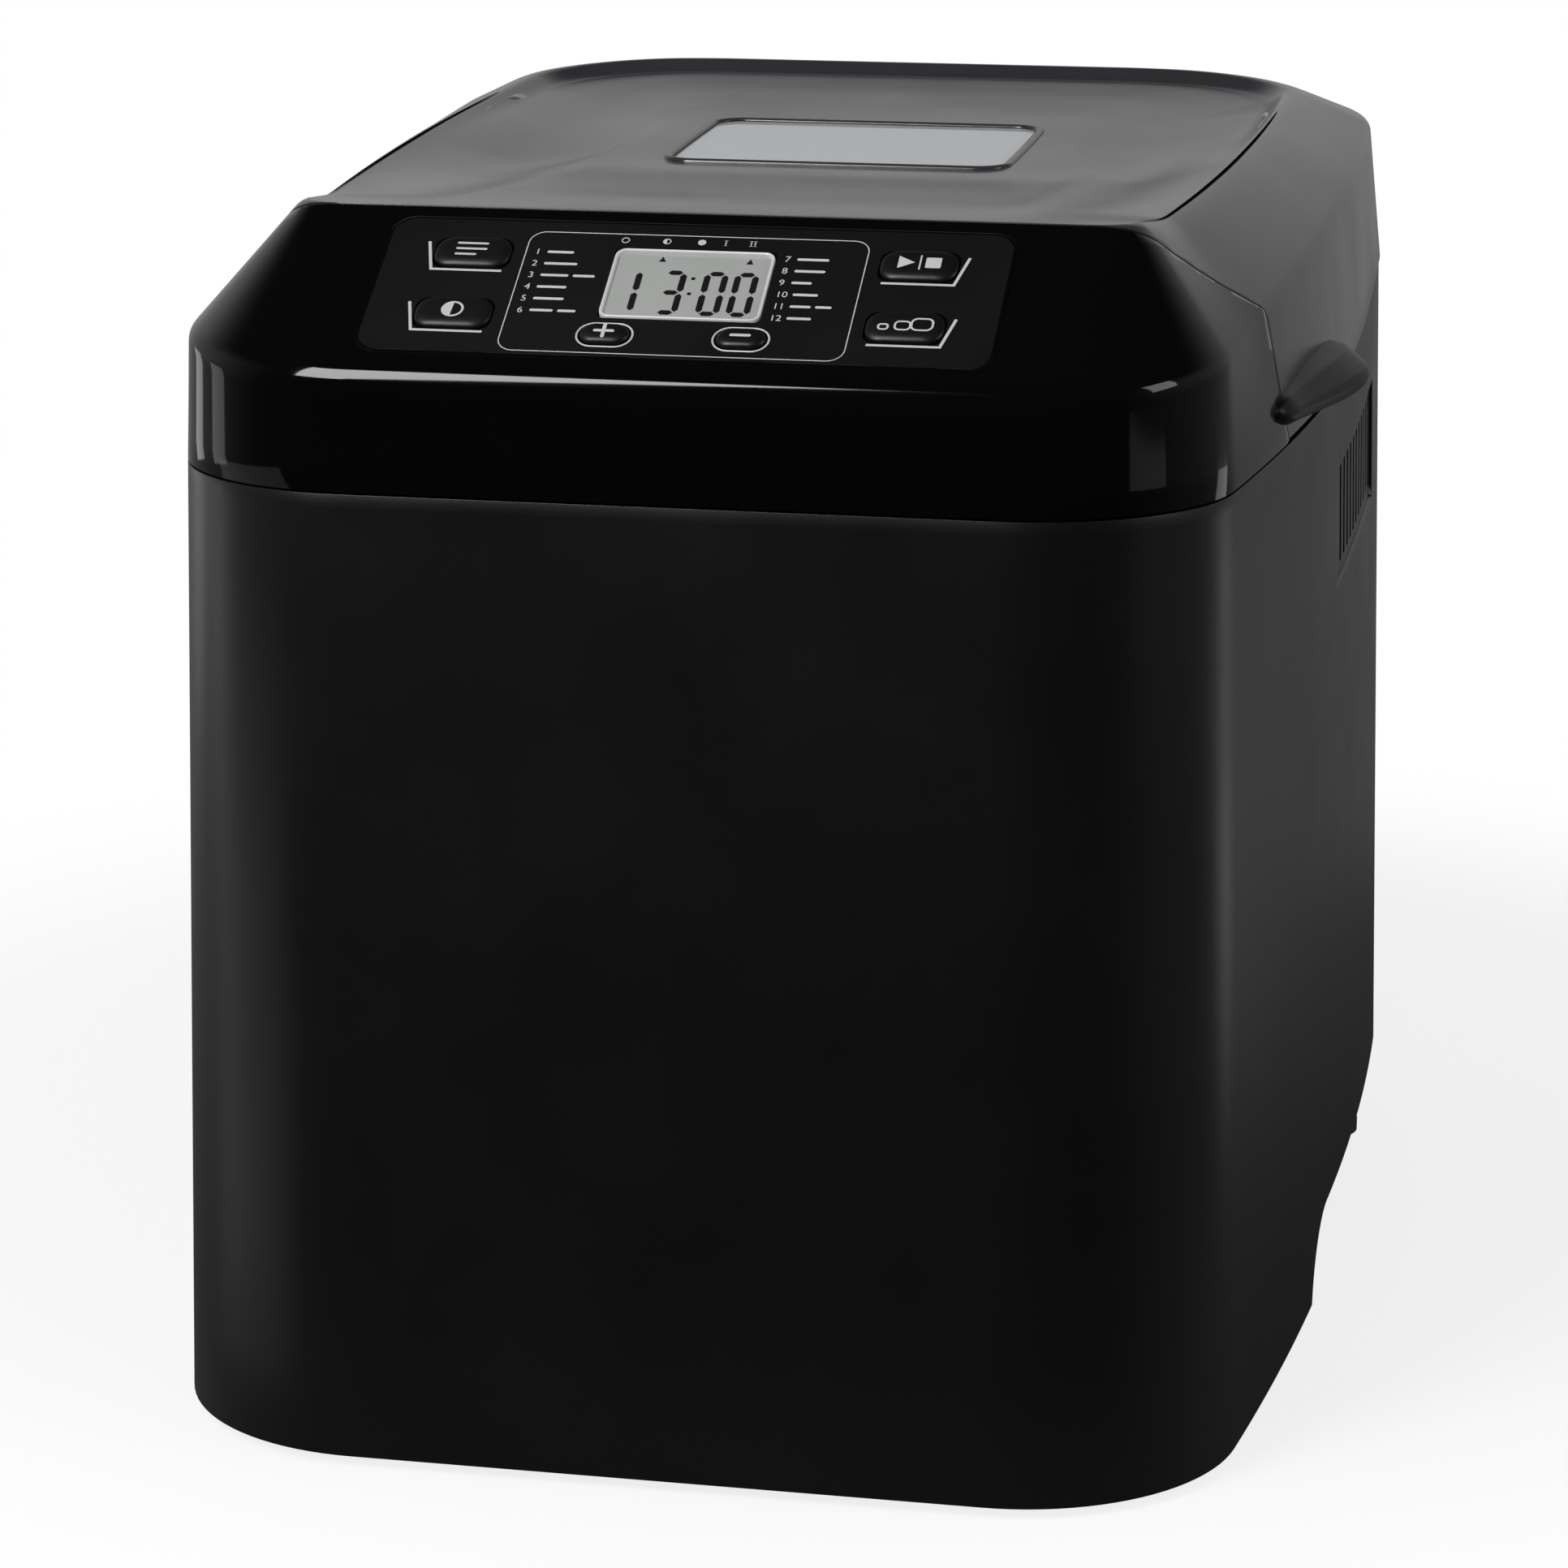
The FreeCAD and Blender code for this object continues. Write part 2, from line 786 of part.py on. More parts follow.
def make_deck():
    """Top deck with the bay wall behind the controls, and the posts and screws that carry it."""
    inset = wall + fit_gap
    slab = Part.Face(body_outline(inset, level(deck_under))).extrude(V(0, 0, deck_thick))
    bay = box(-side_reach, side_reach, y_at(bay_wall_at), y_at(bay_wall_at + bay_wall_thick),
              deck_top, deck_top + bay_wall_tall)
    bay = bay.common(envelope(inset, shell_lift))
    deck = merged([slab, bay]).cut(chamber_block(-fit_gap, deck_under, deck_top))
    screws = []
    posts = []
    for x in (-deck_post_x, deck_post_x):
        for y in (y_at(deck_post_front), y_at(body_depth - deck_post_rear)):
            deck = deck.cut(post(x, y, deck_under, deck_top, screw_radius))
            screws.append(screw(x, y, deck_top, -1, screw_length))
            hole = post(x, y, deck_top - screw_length, deck_under, screw_radius)
            posts.append(post(x, y, base_top, deck_under, deck_post_radius).cut(hole))
    parts["top_deck"] = deck
    parts["deck_posts"] = Part.makeCompound(posts)
    parts["deck_screws"] = Part.makeCompound(screws)


def make_chamber():
    """Sheet-metal oven with its flange, legs, heater loop, clips and sensor."""
    top = deck_top + flange_sheet
    case = chamber_block(0, chamber_floor, top).cut(
        chamber_block(chamber_wall, chamber_floor + chamber_wall, top))
    rim = chamber_block(-chamber_flange, deck_top, top).cut(chamber_block(chamber_wall, deck_top, top))
    case = merged([case, rim])
    case = case.cut(post(0, y_at(drive_depth), 0, seam_height, bearing_outer + fit_gap))
    aft = V(0, 1, 0)
    side = V(-1, 0, 0)
    for x in (-element_terminal, element_terminal):
        case = case.cut(Part.makeCylinder(element_radius + fit_gap, body_depth, V(x, 0, element_level), aft))
    sensor_y = y_at(drive_depth)
    case = case.cut(Part.makeCylinder(sensor_radius + fit_gap, body_width,
                                      V(0, sensor_y, sensor_level), side))
    parts["baking_chamber"] = case
    parts["chamber_legs"] = Part.makeCompound([
        post(x, y, base_top, chamber_floor, base_post).cut(post(x, y, base_top, chamber_floor, screw_radius))
        for x, y in base_posts()])
    probe = Part.makeCylinder(sensor_radius, sensor_length, V(-chamber_half_x + sensor_length, sensor_y,
                                                            sensor_level), side)
    head = Part.makeCylinder(sensor_head, sensor_head_thick, V(-chamber_half_x, sensor_y, sensor_level), side)
    parts["heat_sensor"] = merged([probe, head])
    make_heater()


def make_heater():
    """Tubular heating loop round the foot of the chamber and the clips that carry it."""
    x = chamber_half_x - chamber_wall - element_gap - element_radius
    near = y_at(chamber_front + chamber_wall + element_gap + element_radius)
    far = y_at(chamber_rear - chamber_wall - element_gap - element_radius)
    out = y_at(chamber_rear + element_tail)
    plan = [(-element_terminal, out), (-element_terminal, far), (-x, far), (-x, near),
            (x, near), (x, far), (element_terminal, far), (element_terminal, out)]
    points = [V(px, py, element_level) for px, py in plan]
    parts["heating_element"] = swept_rod(points, element_bend, element_radius)
    clips = []
    reach = element_gap + element_radius
    for side in (-1, 1):
        wall_x = side * (chamber_half_x - chamber_wall)
        for way in (-1, 1):
            y = y_at(drive_depth) + way * chamber_half_y / 2
            tip = wall_x - side * (reach + element_radius + chamber_wall)
            clip = box(min(wall_x, tip), max(wall_x, tip), y - clip_width / 2, y + clip_width / 2,
                       element_level - element_radius - chamber_wall,
                       element_level + element_radius + chamber_wall)
            channel = Part.makeCylinder(element_radius, 2 * clip_width,
                                        V(side * x, y - clip_width, element_level), V(0, 1, 0))
            clips.append(clip.cut(channel))
    parts["element_clips"] = Part.makeCompound(clips)


def pan_block(inset, low, high):
    return rounded(pan_half_x - inset, y_at(drive_depth) - pan_half_y + inset,
                   y_at(drive_depth) + pan_half_y - inset, pan_corner - inset, low, high)


def make_pan():
    """Bread pan with its rim, base ring, bearing, handle pivots and handle."""
    middle = y_at(drive_depth)
    pan = pan_block(0, pan_floor, pan_rim).cut(pan_block(pan_wall, pan_floor + pan_wall, pan_rim))
    bead = pan_block(-rim_bead, pan_rim - rim_tall, pan_rim)
    bead = bead.cut(pan_block(pan_wall, pan_rim - rim_tall, pan_rim))
    pan = merged([pan, bead]).cut(post(0, middle, pan_floor, pan_floor + pan_wall, pan_bush_radius))
    parts["bread_pan"] = pan
    seat = chamber_floor + chamber_wall + pan_seat_gap
    parts["pan_base"] = tube(0, middle, seat, pan_floor, pan_base_radius, pan_base_radius - pan_base_wall)
    parts["pan_bearing"] = merged([
        tube(0, middle, pan_bush_low, pan_bush_high, pan_bush_radius, shaft_radius + running_gap),
        tube(0, middle, pan_bush_low, pan_floor, pan_base_radius - pan_base_wall, pan_bush_radius)])
    pivot_z = pan_rim - rim_tall - ear_drop
    pivots = []
    for side in (-1, 1):
        foot = side * pan_half_x
        tip = side * (pan_half_x + ear_length + 2 * handle_wire + 2 * moving_gap)
        pin = rod_x(min(foot, tip), max(foot, tip), middle, pivot_z, ear_radius)
        cap_tip = tip + side * handle_wire
        cap = rod_x(min(tip, cap_tip), max(tip, cap_tip), middle, pivot_z, ear_radius + handle_wire)
        pivots.append(merged([pin, cap]))
    parts["handle_pivots"] = Part.makeCompound(pivots)
    make_handle(middle, pivot_z)
    clips = []
    for way in (0, 90, 180, 270):
        gap = pan_base_radius + clip_gap
        low = chamber_floor + chamber_wall
        clip = box(gap, gap + clip_sheet, -clip_width, clip_width, low, low + clip_tall)
        foot = box(gap, gap + clip_width, -clip_width, clip_width, low, low + clip_sheet)
        clip = merged([clip, foot])
        clip.rotate(V(0, 0, 0), V(0, 0, 1), way + 45)
        clip.translate(V(0, middle, 0))
        clips.append(clip)
    parts["pan_clips"] = Part.makeCompound(clips)


def make_handle(middle, pivot_z):
    """Wire bail handle, folded forward, with an eye round each pivot."""
    x = pan_half_x + ear_length + handle_wire + moving_gap
    front = middle - pan_half_y - rim_bead - handle_wire - ear_length
    eye = ear_radius + running_gap
    points = [V(-x, middle - eye, pivot_z), V(-x, front, pivot_z),
              V(x, front, pivot_z), V(x, middle - eye, pivot_z)]
    pieces = [swept_rod(points, handle_bend, handle_wire)]
    for side in (-1, 1):
        outer = rod_x(side * x - handle_wire, side * x + handle_wire, middle, pivot_z, eye + 2 * handle_wire)
        pieces.append(outer)
    handle = merged(pieces)
    for side in (-1, 1):
        handle = handle.cut(rod_x(side * x - 2 * handle_wire, side * x + 2 * handle_wire,
                                  middle, pivot_z, eye))
    parts["pan_handle"] = handle


def coupling(low, way):
    """Two-dog coupling disc; way is 1 for dogs that stand up and -1 for dogs that hang down."""
    middle = y_at(drive_depth)
    disc = tube(0, middle, low, low + coupling_thick, coupling_radius, shaft_radius)
    pieces = [disc]
    dog_low = low + coupling_thick if way > 0 else low - dog_tall
    for side in (-1, 1):
        outer = side * (coupling_radius - dog_play / 2)
        inner = side * (shaft_radius + dog_play)
        dog = box(min(inner, outer), max(inner, outer), -dog_width / 2, dog_width / 2,
                  dog_low, dog_low + dog_tall)
        if way < 0:
            dog.rotate(V(0, 0, 0), V(0, 0, 1), 90)
        dog.translate(V(0, middle, 0))
        pieces.append(dog)
    return merged(pieces)


def make_drive():
    """Paddle, pan shaft, couplings, drive shaft, bearings, pulleys, belt and motor."""
    middle = y_at(drive_depth)
    lower_top = lower_coupling_at + coupling_thick
    upper_low = lower_top + dog_tall + moving_gap
    parts["lower_coupling"] = coupling(lower_coupling_at, 1)
    parts["upper_coupling"] = coupling(upper_low, -1)
    collar_low = bearing_high + moving_gap
    parts["drive_shaft"] = merged([
        post(0, middle, base_top + collar_tall, lower_top, shaft_radius),
        post(0, middle, collar_low, collar_low + collar_tall, collar_radius)])
    flat_top = pan_bush_high + running_gap
    shaft = post(0, middle, upper_low, shaft_top, shaft_radius)
    flat = box(-shaft_radius, shaft_radius, middle + shaft_radius - flat_depth, middle + 2 * shaft_radius,
               flat_top, shaft_top)
    parts["pan_shaft"] = shaft.cut(flat)
    parts["kneading_paddle"] = make_paddle(middle, flat_top)
    housing = merged([
        post(0, middle, bearing_low, bearing_high, bearing_outer),
        post(0, middle, chamber_floor - bearing_flange_thick, chamber_floor, bearing_flange)])
    bore = bearing_outer - bush_wall
    housing = housing.cut(post(0, middle, bearing_low, bearing_high, bore))
    parts["bearing_housing"] = housing
    parts["bearing_bushes"] = Part.makeCompound([
        tube(0, middle, bearing_low, bearing_low + bush_tall, bore, shaft_radius + running_gap),
        tube(0, middle, bearing_high - bush_tall, bearing_high, bore, shaft_radius + running_gap)])
    make_pulleys(middle)
    make_motor()


def make_paddle(middle, low):
    """Kneading paddle: a hub with a flat in its bore and one swept-back blade."""
    hub = post(0, middle, low, low + hub_tall, hub_radius)
    blade = box(0, blade_length, middle - blade_thick / 2, middle + blade_thick / 2, low, low + blade_tall)
    slack = blade_thick / 4
    top_edges = [e for e in blade.Edges
                 if e.BoundBox.XMin > blade_length - slack
                 and e.BoundBox.ZLength < slack
                 and e.BoundBox.ZMin > low + slack]
    blade = blade.makeFillet(blade_tall / 2, top_edges)
    play = shaft_radius + running_gap
    hole = post(0, middle, low, shaft_top + running_gap, play)
    key = box(-play, play, middle + shaft_radius - flat_depth + running_gap, middle + 2 * play,
              low, shaft_top)
    return merged([hub, blade]).cut(hole.cut(key)).cut(post(0, middle, shaft_top, low + blade_tall, play))


def make_pulleys(middle):
    """Grooved pulleys on the drive and motor shafts, with the round-ended belt between them."""
    low = belt_level - pulley_tall / 2
    high = belt_level + pulley_tall / 2
    motor_y = y_at(motor_depth)
    band_low = belt_level - belt_tall / 2
    band_high = belt_level + belt_tall / 2
    groove = tube(0, middle, band_low - moving_gap, band_high + moving_gap, 2 * pulley_radius,
                  pulley_radius - belt_groove)
    rim = tube(0, middle, low, high, pulley_radius, pulley_radius - pulley_rim)
    web = tube(0, middle, belt_level - pulley_web / 2, belt_level + pulley_web / 2,
               pulley_radius - pulley_rim, pulley_hub)
    hub = tube(0, middle, low, high, pulley_hub, shaft_radius)
    parts["drive_pulley"] = merged([rim, web, hub]).cut(groove)
    small = tube(0, motor_y, low, high, motor_pulley_radius, motor_shaft_radius)
    parts["motor_pulley"] = small.cut(tube(0, motor_y, band_low - moving_gap, band_high + moving_gap,
                                           2 * motor_pulley_radius, motor_pulley_radius - belt_groove))
    big_inner = pulley_radius - belt_groove + moving_gap
    small_inner = motor_pulley_radius - belt_groove + moving_gap
    outer = belt_loop(middle, motor_y, big_inner + belt_thick, small_inner + belt_thick, band_low)
    inner = belt_loop(middle, motor_y, big_inner, small_inner, band_low)
    parts["drive_belt"] = outer.cut(inner)


def belt_loop(y_big, y_small, r_big, r_small, low):
    """Solid inside an open belt's path round two circles."""
    lean = math.asin((r_big - r_small) / (y_small - y_big))
    across = math.cos(lean)
    along = math.sin(lean)
    big = V(r_big * across, y_big + r_big * along, low)
    small = V(r_small * across, y_small + r_small * along, low)
    big_left = V(-big.x, big.y, low)
    small_left = V(-small.x, small.y, low)
    wire = Part.Wire([
        line(big, small),
        arc(small, V(0, y_small + r_small, low), small_left),
        line(small_left, big_left),
        arc(big_left, V(0, y_big - r_big, low), big),
    ])
    return Part.Face(wire).extrude(V(0, 0, belt_tall))


def make_motor():
    """Vertical motor on its bracket behind the chamber."""
    y = y_at(motor_depth)
    top = bracket_level + bracket_thick
    plate = rounded(bracket_half, y - motor_radius, y + motor_radius, bracket_leg, bracket_level, top)
    legs = []
    for x in (-1, 1):
        for way in (-1, 1):
            legs.append(post(x * (bracket_half - bracket_leg), y + way * (motor_radius - bracket_leg),
                             base_top, bracket_level, bracket_leg))
    plate = merged([plate] + legs).cut(post(0, y, base_top, top, motor_boss))
    screws = []
    for x in (-motor_screw_ring, motor_screw_ring):
        plate = plate.cut(post(x, y, bracket_level, top, screw_radius))
        screws.append(screw(x, y, bracket_level, 1, bracket_thick + screw_head_tall))
    parts["motor_bracket"] = plate
    parts["motor_screws"] = Part.makeCompound(screws)
    can = post(0, y, top, top + motor_tall, motor_radius)
    boss = post(0, y, bracket_level, top, motor_boss - running_gap)
    case = merged([can, boss])
    case = case.cut(post(0, y, bracket_level, top + motor_tall, motor_shaft_radius + running_gap))
    for x in (-motor_screw_ring, motor_screw_ring):
        case = case.cut(post(x, y, top, top + screw_head_tall, screw_radius))
    parts["motor_body"] = case
    low = belt_level - pulley_tall / 2
    parts["motor_shaft"] = post(0, y, low, top + motor_tall + collar_tall, motor_shaft_radius)


def make_power_board():
    """Upright power board on a folded bracket beside the chamber, with its larger components."""
    face = chamber_half_x + power_standoff + side_bay / 2
    y0 = y_at(power_at)
    y1 = y_at(power_at + power_length)
    high = power_low + power_tall
    plate = box(face, face + power_sheet, y0, y1, base_top, high)
    foot = box(face - power_setback, face + power_sheet, y0, y1, base_top, base_top + power_sheet)
    pegs = []
    for y in (y0 + power_inset, y1 - power_inset):
        for z in (power_low + power_inset, high - power_inset):
            pegs.append(rod_x(face - power_standoff, face, y, z, post_radius))
    parts["board_bracket"] = merged([plate, foot] + pegs)
    back = face - power_standoff
    front = back - power_thick
    parts["power_board"] = box(front, back, y0, y1, power_low, high)
    middle = (y0 + y1) / 2
    tall = chamber_half_x + power_inset - front
    relay = box(front + tall, front, y0 + 2 * power_inset, middle - power_inset, high - 3 * power_inset,
                high - power_inset)
    capacitor = rod_x(front + tall, front, y1 - 3 * power_inset, high - 3 * power_inset, power_inset)
    sink = box(front + tall, front, middle, middle + power_inset, power_low + power_inset,
               power_low + 4 * power_inset)
    terminal = box(front + tall, front, y0 + power_inset, y0 + 3 * power_inset, power_low,
                   power_low + 2 * power_inset)
    parts["power_components"] = Part.makeCompound([relay, capacitor, sink, terminal])


def dish_slab(high, low):
    """Slab under the rising part of the dish floor, between two depths below it."""
    floor = tilted(dish_low, dish_rise, dish_turn)
    near = floor(y_at(0))
    far = floor(y_at(crest_at))
    return side_prism([(0, near - low), (crest_at, far - low), (crest_at, far - high), (0, near - high)])


def make_window(under_lid):
    """Outer pane, inner glass with its seal, and the light tunnel between them."""
    parts["window_pane"] = window_hole(fit_gap).common(dish_slab(pane_sink, pane_sink + pane_thick))
    glass_low = liner_top + glass_seal
    glass_top = glass_low + glass_thick
    half_x = window_width / 2 + glass_margin
    half_y = window_tall / 2 + glass_margin
    corner = window_corner + glass_margin
    middle = y_at(window_at)
    seal = rounded(half_x, middle - half_y, middle + half_y, corner, liner_top, glass_low)
    parts["window_seal"] = seal.cut(window_hole(0))
    parts["inner_glass"] = rounded(half_x, middle - half_y, middle + half_y, corner, glass_low, glass_top)
    tunnel = rounded(half_x, middle - half_y, middle + half_y, corner, glass_top, panel_height * 2)
    parts["window_tunnel"] = tunnel.common(under_lid).cut(window_hole(tunnel_wall))


def make_lid_inside():
    """Liner tray, lid seal, window and the screws that hold the liner."""
    under_lid = envelope(wall + fit_gap, shell_lift).cut(dish(wall + liner_top_gap))
    inset = -chamber_flange - seal_margin
    edge = -liner_edge
    ceiling = panel_height * 2
    half = chamber_half_x - edge
    front = y_at(chamber_front + edge)
    rear = y_at(chamber_rear - edge)
    tray = rounded(half, front, rear, liner_corner, liner_low, ceiling)
    hollowed = rounded(half - liner_thick, front + liner_thick, rear - liner_thick,
                       liner_corner - liner_thick, liner_top, ceiling)
    tray = tray.cut(hollowed).common(under_lid)
    parts["lid_liner"] = tray.cut(window_hole(0))
    parts["lid_seal"] = chamber_block(inset - seal_width, deck_top + moving_gap, liner_low).cut(
        chamber_block(inset, deck_top + moving_gap, liner_low))
    make_window(under_lid)


def make_hinge():
    """Arms on the lid, knuckles on the body and the pins through both."""
    axis_y = y_at(body_depth + hinge_offset)
    rear = y_at(body_depth)
    arm = merged([
        rod_x(arm_inner, arm_inner + arm_width, axis_y, hinge_height, knuckle_radius),
        box(arm_inner, arm_inner + arm_width, rear, axis_y,
            hinge_height + seam_gap, hinge_height + arm_tall)])
    arm = arm.cut(rod_x(arm_inner, arm_inner + arm_width, axis_y, hinge_height, pin_radius + running_gap))
    starts = (arm_inner - knuckle_gap - knuckle_width, arm_inner + arm_width + knuckle_gap)
    knuckles = []
    for x in starts:
        knuckle = merged([
            rod_x(x, x + knuckle_width, axis_y, hinge_height, knuckle_radius),
            box(x, x + knuckle_width, rear, axis_y, hinge_height - bracket_drop, hinge_height - seam_gap)])
        knuckles.append(knuckle.cut(rod_x(x, x + knuckle_width, axis_y, hinge_height, pin_radius)))
    pin = rod_x(starts[0], starts[1] + knuckle_width, axis_y, hinge_height, pin_radius)
    parts["hinge_arms"] = both_sides(arm)
    parts["hinge_knuckles"] = Part.makeCompound(knuckles + [mirrored(k) for k in knuckles])
    parts["hinge_pins"] = both_sides(pin)


def export():
    os.makedirs("parts", exist_ok=True)
    for name, shape in parts.items():
        shape.exportStep("parts/" + name + ".step")


make_shells()
make_controls()
make_base()
make_deck()
make_chamber()
make_pan()
make_drive()
make_power_board()
make_lid_inside()
make_hinge()
export()
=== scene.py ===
"""Looks of a bread machine: shells, control panel, window, vents and finishes, built round the frame."""

import json
import math

import bmesh
import bpy
import numpy as np
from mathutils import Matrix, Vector


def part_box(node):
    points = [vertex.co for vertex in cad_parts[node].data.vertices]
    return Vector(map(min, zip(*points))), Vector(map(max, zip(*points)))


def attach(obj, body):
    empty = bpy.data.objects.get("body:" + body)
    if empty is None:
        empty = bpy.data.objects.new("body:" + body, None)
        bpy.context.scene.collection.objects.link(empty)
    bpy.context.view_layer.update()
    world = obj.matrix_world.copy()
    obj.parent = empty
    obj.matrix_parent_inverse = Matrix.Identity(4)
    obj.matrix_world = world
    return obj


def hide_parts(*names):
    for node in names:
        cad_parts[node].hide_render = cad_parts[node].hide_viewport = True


bl_info = {
    "name": "Bread Machine",
    "version": (1, 0, 0),
    "blender": (4, 5, 0),
    "location": "View3D > Sidebar > Bread Machine",
    "description": "Shells, control panel, window and finishes of a bread machine",
    "category": "Object",
}

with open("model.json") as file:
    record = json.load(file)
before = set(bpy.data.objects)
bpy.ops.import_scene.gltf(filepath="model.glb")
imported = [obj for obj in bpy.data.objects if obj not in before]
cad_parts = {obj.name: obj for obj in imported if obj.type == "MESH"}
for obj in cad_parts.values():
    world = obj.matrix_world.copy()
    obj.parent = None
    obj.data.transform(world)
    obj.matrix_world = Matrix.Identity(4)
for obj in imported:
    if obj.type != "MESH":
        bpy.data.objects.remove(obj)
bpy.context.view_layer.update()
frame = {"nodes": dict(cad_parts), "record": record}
pane_low, pane_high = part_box("window_pane")

# Sizes and colours that a user would change


def length(label, default, about):
    return bpy.props.FloatProperty(name=label, description=about, default=default, unit="LENGTH", precision=4)


def turn(label, degrees, about):
    return bpy.props.FloatProperty(name=label, description=about, default=math.radians(degrees),
                                   subtype="ANGLE")


def tint(label, default, about):
    return bpy.props.FloatVectorProperty(name=label, description=about, default=default, subtype="COLOR",
                                         min=0.0, max=1.0)


def count(label, default, about):
    return bpy.props.IntProperty(name=label, description=about, default=default, min=1)


class ShellSizes(bpy.types.PropertyGroup):
    """Outline, levels and roundings of the outer shells."""

    width: length("Width", 0.240, "Body width at the seam")
    depth: length("Depth", 0.320, "Body depth at the seam")
    seam: length("Seam", 0.2095, "Height of the seam between the body and the parts above it")
    gap: length("Seam gap", 0.0005, "Width of the open seams")
    wall: length("Wall", 0.003, "Thickness of the shells")
    bow: length("Side bow", 1.480, "Radius of the bowed sides in plan")
    widest: length("Widest at", 0.206, "Depth at which the body is widest")
    front_corner: length("Front corner", 0.043, "Radius of the front corners in plan")
    rear_corner: length("Rear corner", 0.045, "Radius of the rear corners in plan")
    flare: length("Flare", 0.00495, "How far the body stands out at the floor")
    lift: length("Shell lift", 0.0025, "Gap under the body shell at the front")
    tail_start: length("Tail start", 0.127, "Depth at which the lower edge rises")
    tail_run: length("Tail run", 0.023, "Depth over which the lower edge rises")
    tail_lift: length("Tail lift", 0.020, "Height of the lower edge behind the rise")
    brow: length("Brow", 0.2345, "Height of the panel's lower edge at the front")
    brow_rear: length("Brow at the rear", 0.2575, "Height of the same edge at the rear")
    brow_inset: length("Brow inset", 0.0034, "How far that edge stands in from the seam behind the corners")
    panel_depth: length("Panel depth", 0.0444, "Depth at which the sloped panel ends")
    panel_top: length("Panel top", 0.262, "Height of the panel's upper edge")
    crest: length("Crest", 0.3025, "Depth of the lid top's rear edge")
    crest_top: length("Crest height", 0.2653, "Height of the lid top's rear edge before its rounding")
    side_sag: length("Side sag", 0.0032, "How much lower the lid's top edge lies along its sides")
    top_inset: length("Top inset", 0.0227, "How far the lid's top stands in from the sides")
    top_corner: length("Top corner", 0.034, "Radius of the rear corners of the lid's top")
    top_front: length("Top front corner", 0.01, "Radius of the front corners of the lid's top")
    bowl: length("Bowl", 0.026, "From the lid top's edge to the foot of its hollow's slope")
    brink: length("Brink", 0.005, "From the lid top's edge to the foot of its steep first step")
    roll: length("Roll", 0.008, "Radius of the lid's rim")
    hollow_step: length("Hollow step", 0.0004, "Step down into the hollow behind the panel")
    hollow_turn: length("Hollow turn", 0.1639, "Depth at which the hollow's floor is lowest")
    hollow_fall: turn("Hollow fall", 3.5, "Fall of the hollow's floor in front of that depth")
    hollow_rise: turn("Hollow rise", 2.15, "Rise of the hollow's floor behind that depth")
    hollow_blend: length("Hollow blend", 0.0012, "Height of the soft bend between fall and rise")
    hip: length("Hip", 0.080, "Depth at which the lid's split meets the brow line")
    settled: length("Settled", 0.12, "Depth at which the hollow's floor sags fully at the sides")
    lean: length("Lean", 0.0936, "Depth at which the lid's split meets the seam")
    rise_run: length("Rise run", 0.172, "Depth over which the rear seam rises")
    rise: length("Rise", 0.014, "How far the rear seam rises")
    edge_round: length("Edge round", 0.0016, "Cut of the crisp edges")
    brow_round: length("Brow round", 0.0038, "Cut of the panel's lower edge at the front")
    brow_fade: length("Brow fade", 0.025, "Depth over which that edge becomes crisp")
    soft_round: length("Soft round", 0.014, "Cut of the foot of the hollow's slope")


class VentSizes(bpy.types.PropertyGroup):
    """Side vents behind the thumb tab."""

    start: length("Start", 0.1665, "Depth of the first slot")
    low: length("Low end", 0.1665, "Height of the first slot's lower end")
    tall: length("Slot height", 0.0225, "Height of a slot")
    slot: length("Slot width", 0.003, "Width of a slot")
    pitch: length("Pitch", 0.007, "Distance from slot to slot")
    border: length("Border", 0.003, "Border of the recess round the slots")
    recess: length("Recess", 0.0008, "Depth of the recess")
    slant: turn("Slant", 3.0, "Slope of the row of slots")
    number: count("Number", 12, "Number of slots on each side")


class PanelSizes(bpy.types.PropertyGroup):
    """Places on the sloped panel, measured across it and up its slope."""

    half_width: length("Plate half width", 0.0655, "Half width of the control plate")
    low: length("Plate low edge", 0.0064, "Lower edge of the plate, up the slope")
    high: length("Plate high edge", 0.0484, "Upper edge of the plate, up the slope")
    corner: length("Plate corner", 0.005, "Corner radius of the plate")
    proud: length("Proud", 0.0003, "How far the plate stands out of the panel")
    button_x: length("Button x", 0.0465, "Distance of the four large buttons from the middle")
    upper: length("Upper buttons", 0.0372, "Height of the upper buttons up the slope")
    lower: length("Lower buttons", 0.0184, "Height of the lower buttons up the slope")
    button_width: length("Button width", 0.016, "Width of a large button")
    button_tall: length("Button height", 0.009, "Height of a large button")
    button_proud: length("Button proud", 0.0012, "How far a large button stands out of the plate")
    step_x: length("Step button x", 0.014, "Distance of the plus and minus buttons from the middle")
    step_at: length("Step button place", 0.0134, "Height of the plus and minus buttons up the slope")
    step_width: length("Step button width", 0.0115, "Width of the plus and minus buttons")
    step_tall: length("Step button height", 0.007, "Height of the plus and minus buttons")
    display_at: length("Display place", 0.0295, "Height of the display's middle up the slope")
    display_width: length("Display width", 0.0335, "Width of the display with its rim")
    display_tall: length("Display height", 0.0214, "Height of the display with its rim")
    inset_half: length("Inset half width", 0.0355, "Half width of the outlined inset round the display")
    inset_low: length("Inset low edge", 0.0079, "Lower edge of the outlined inset")
    inset_high: length("Inset high edge", 0.0446, "Upper edge of the outlined inset")
    line: length("Line", 0.00032, "Width of the printed lines")
    ink: length("Ink", 0.00004, "Height of the print over the plate")


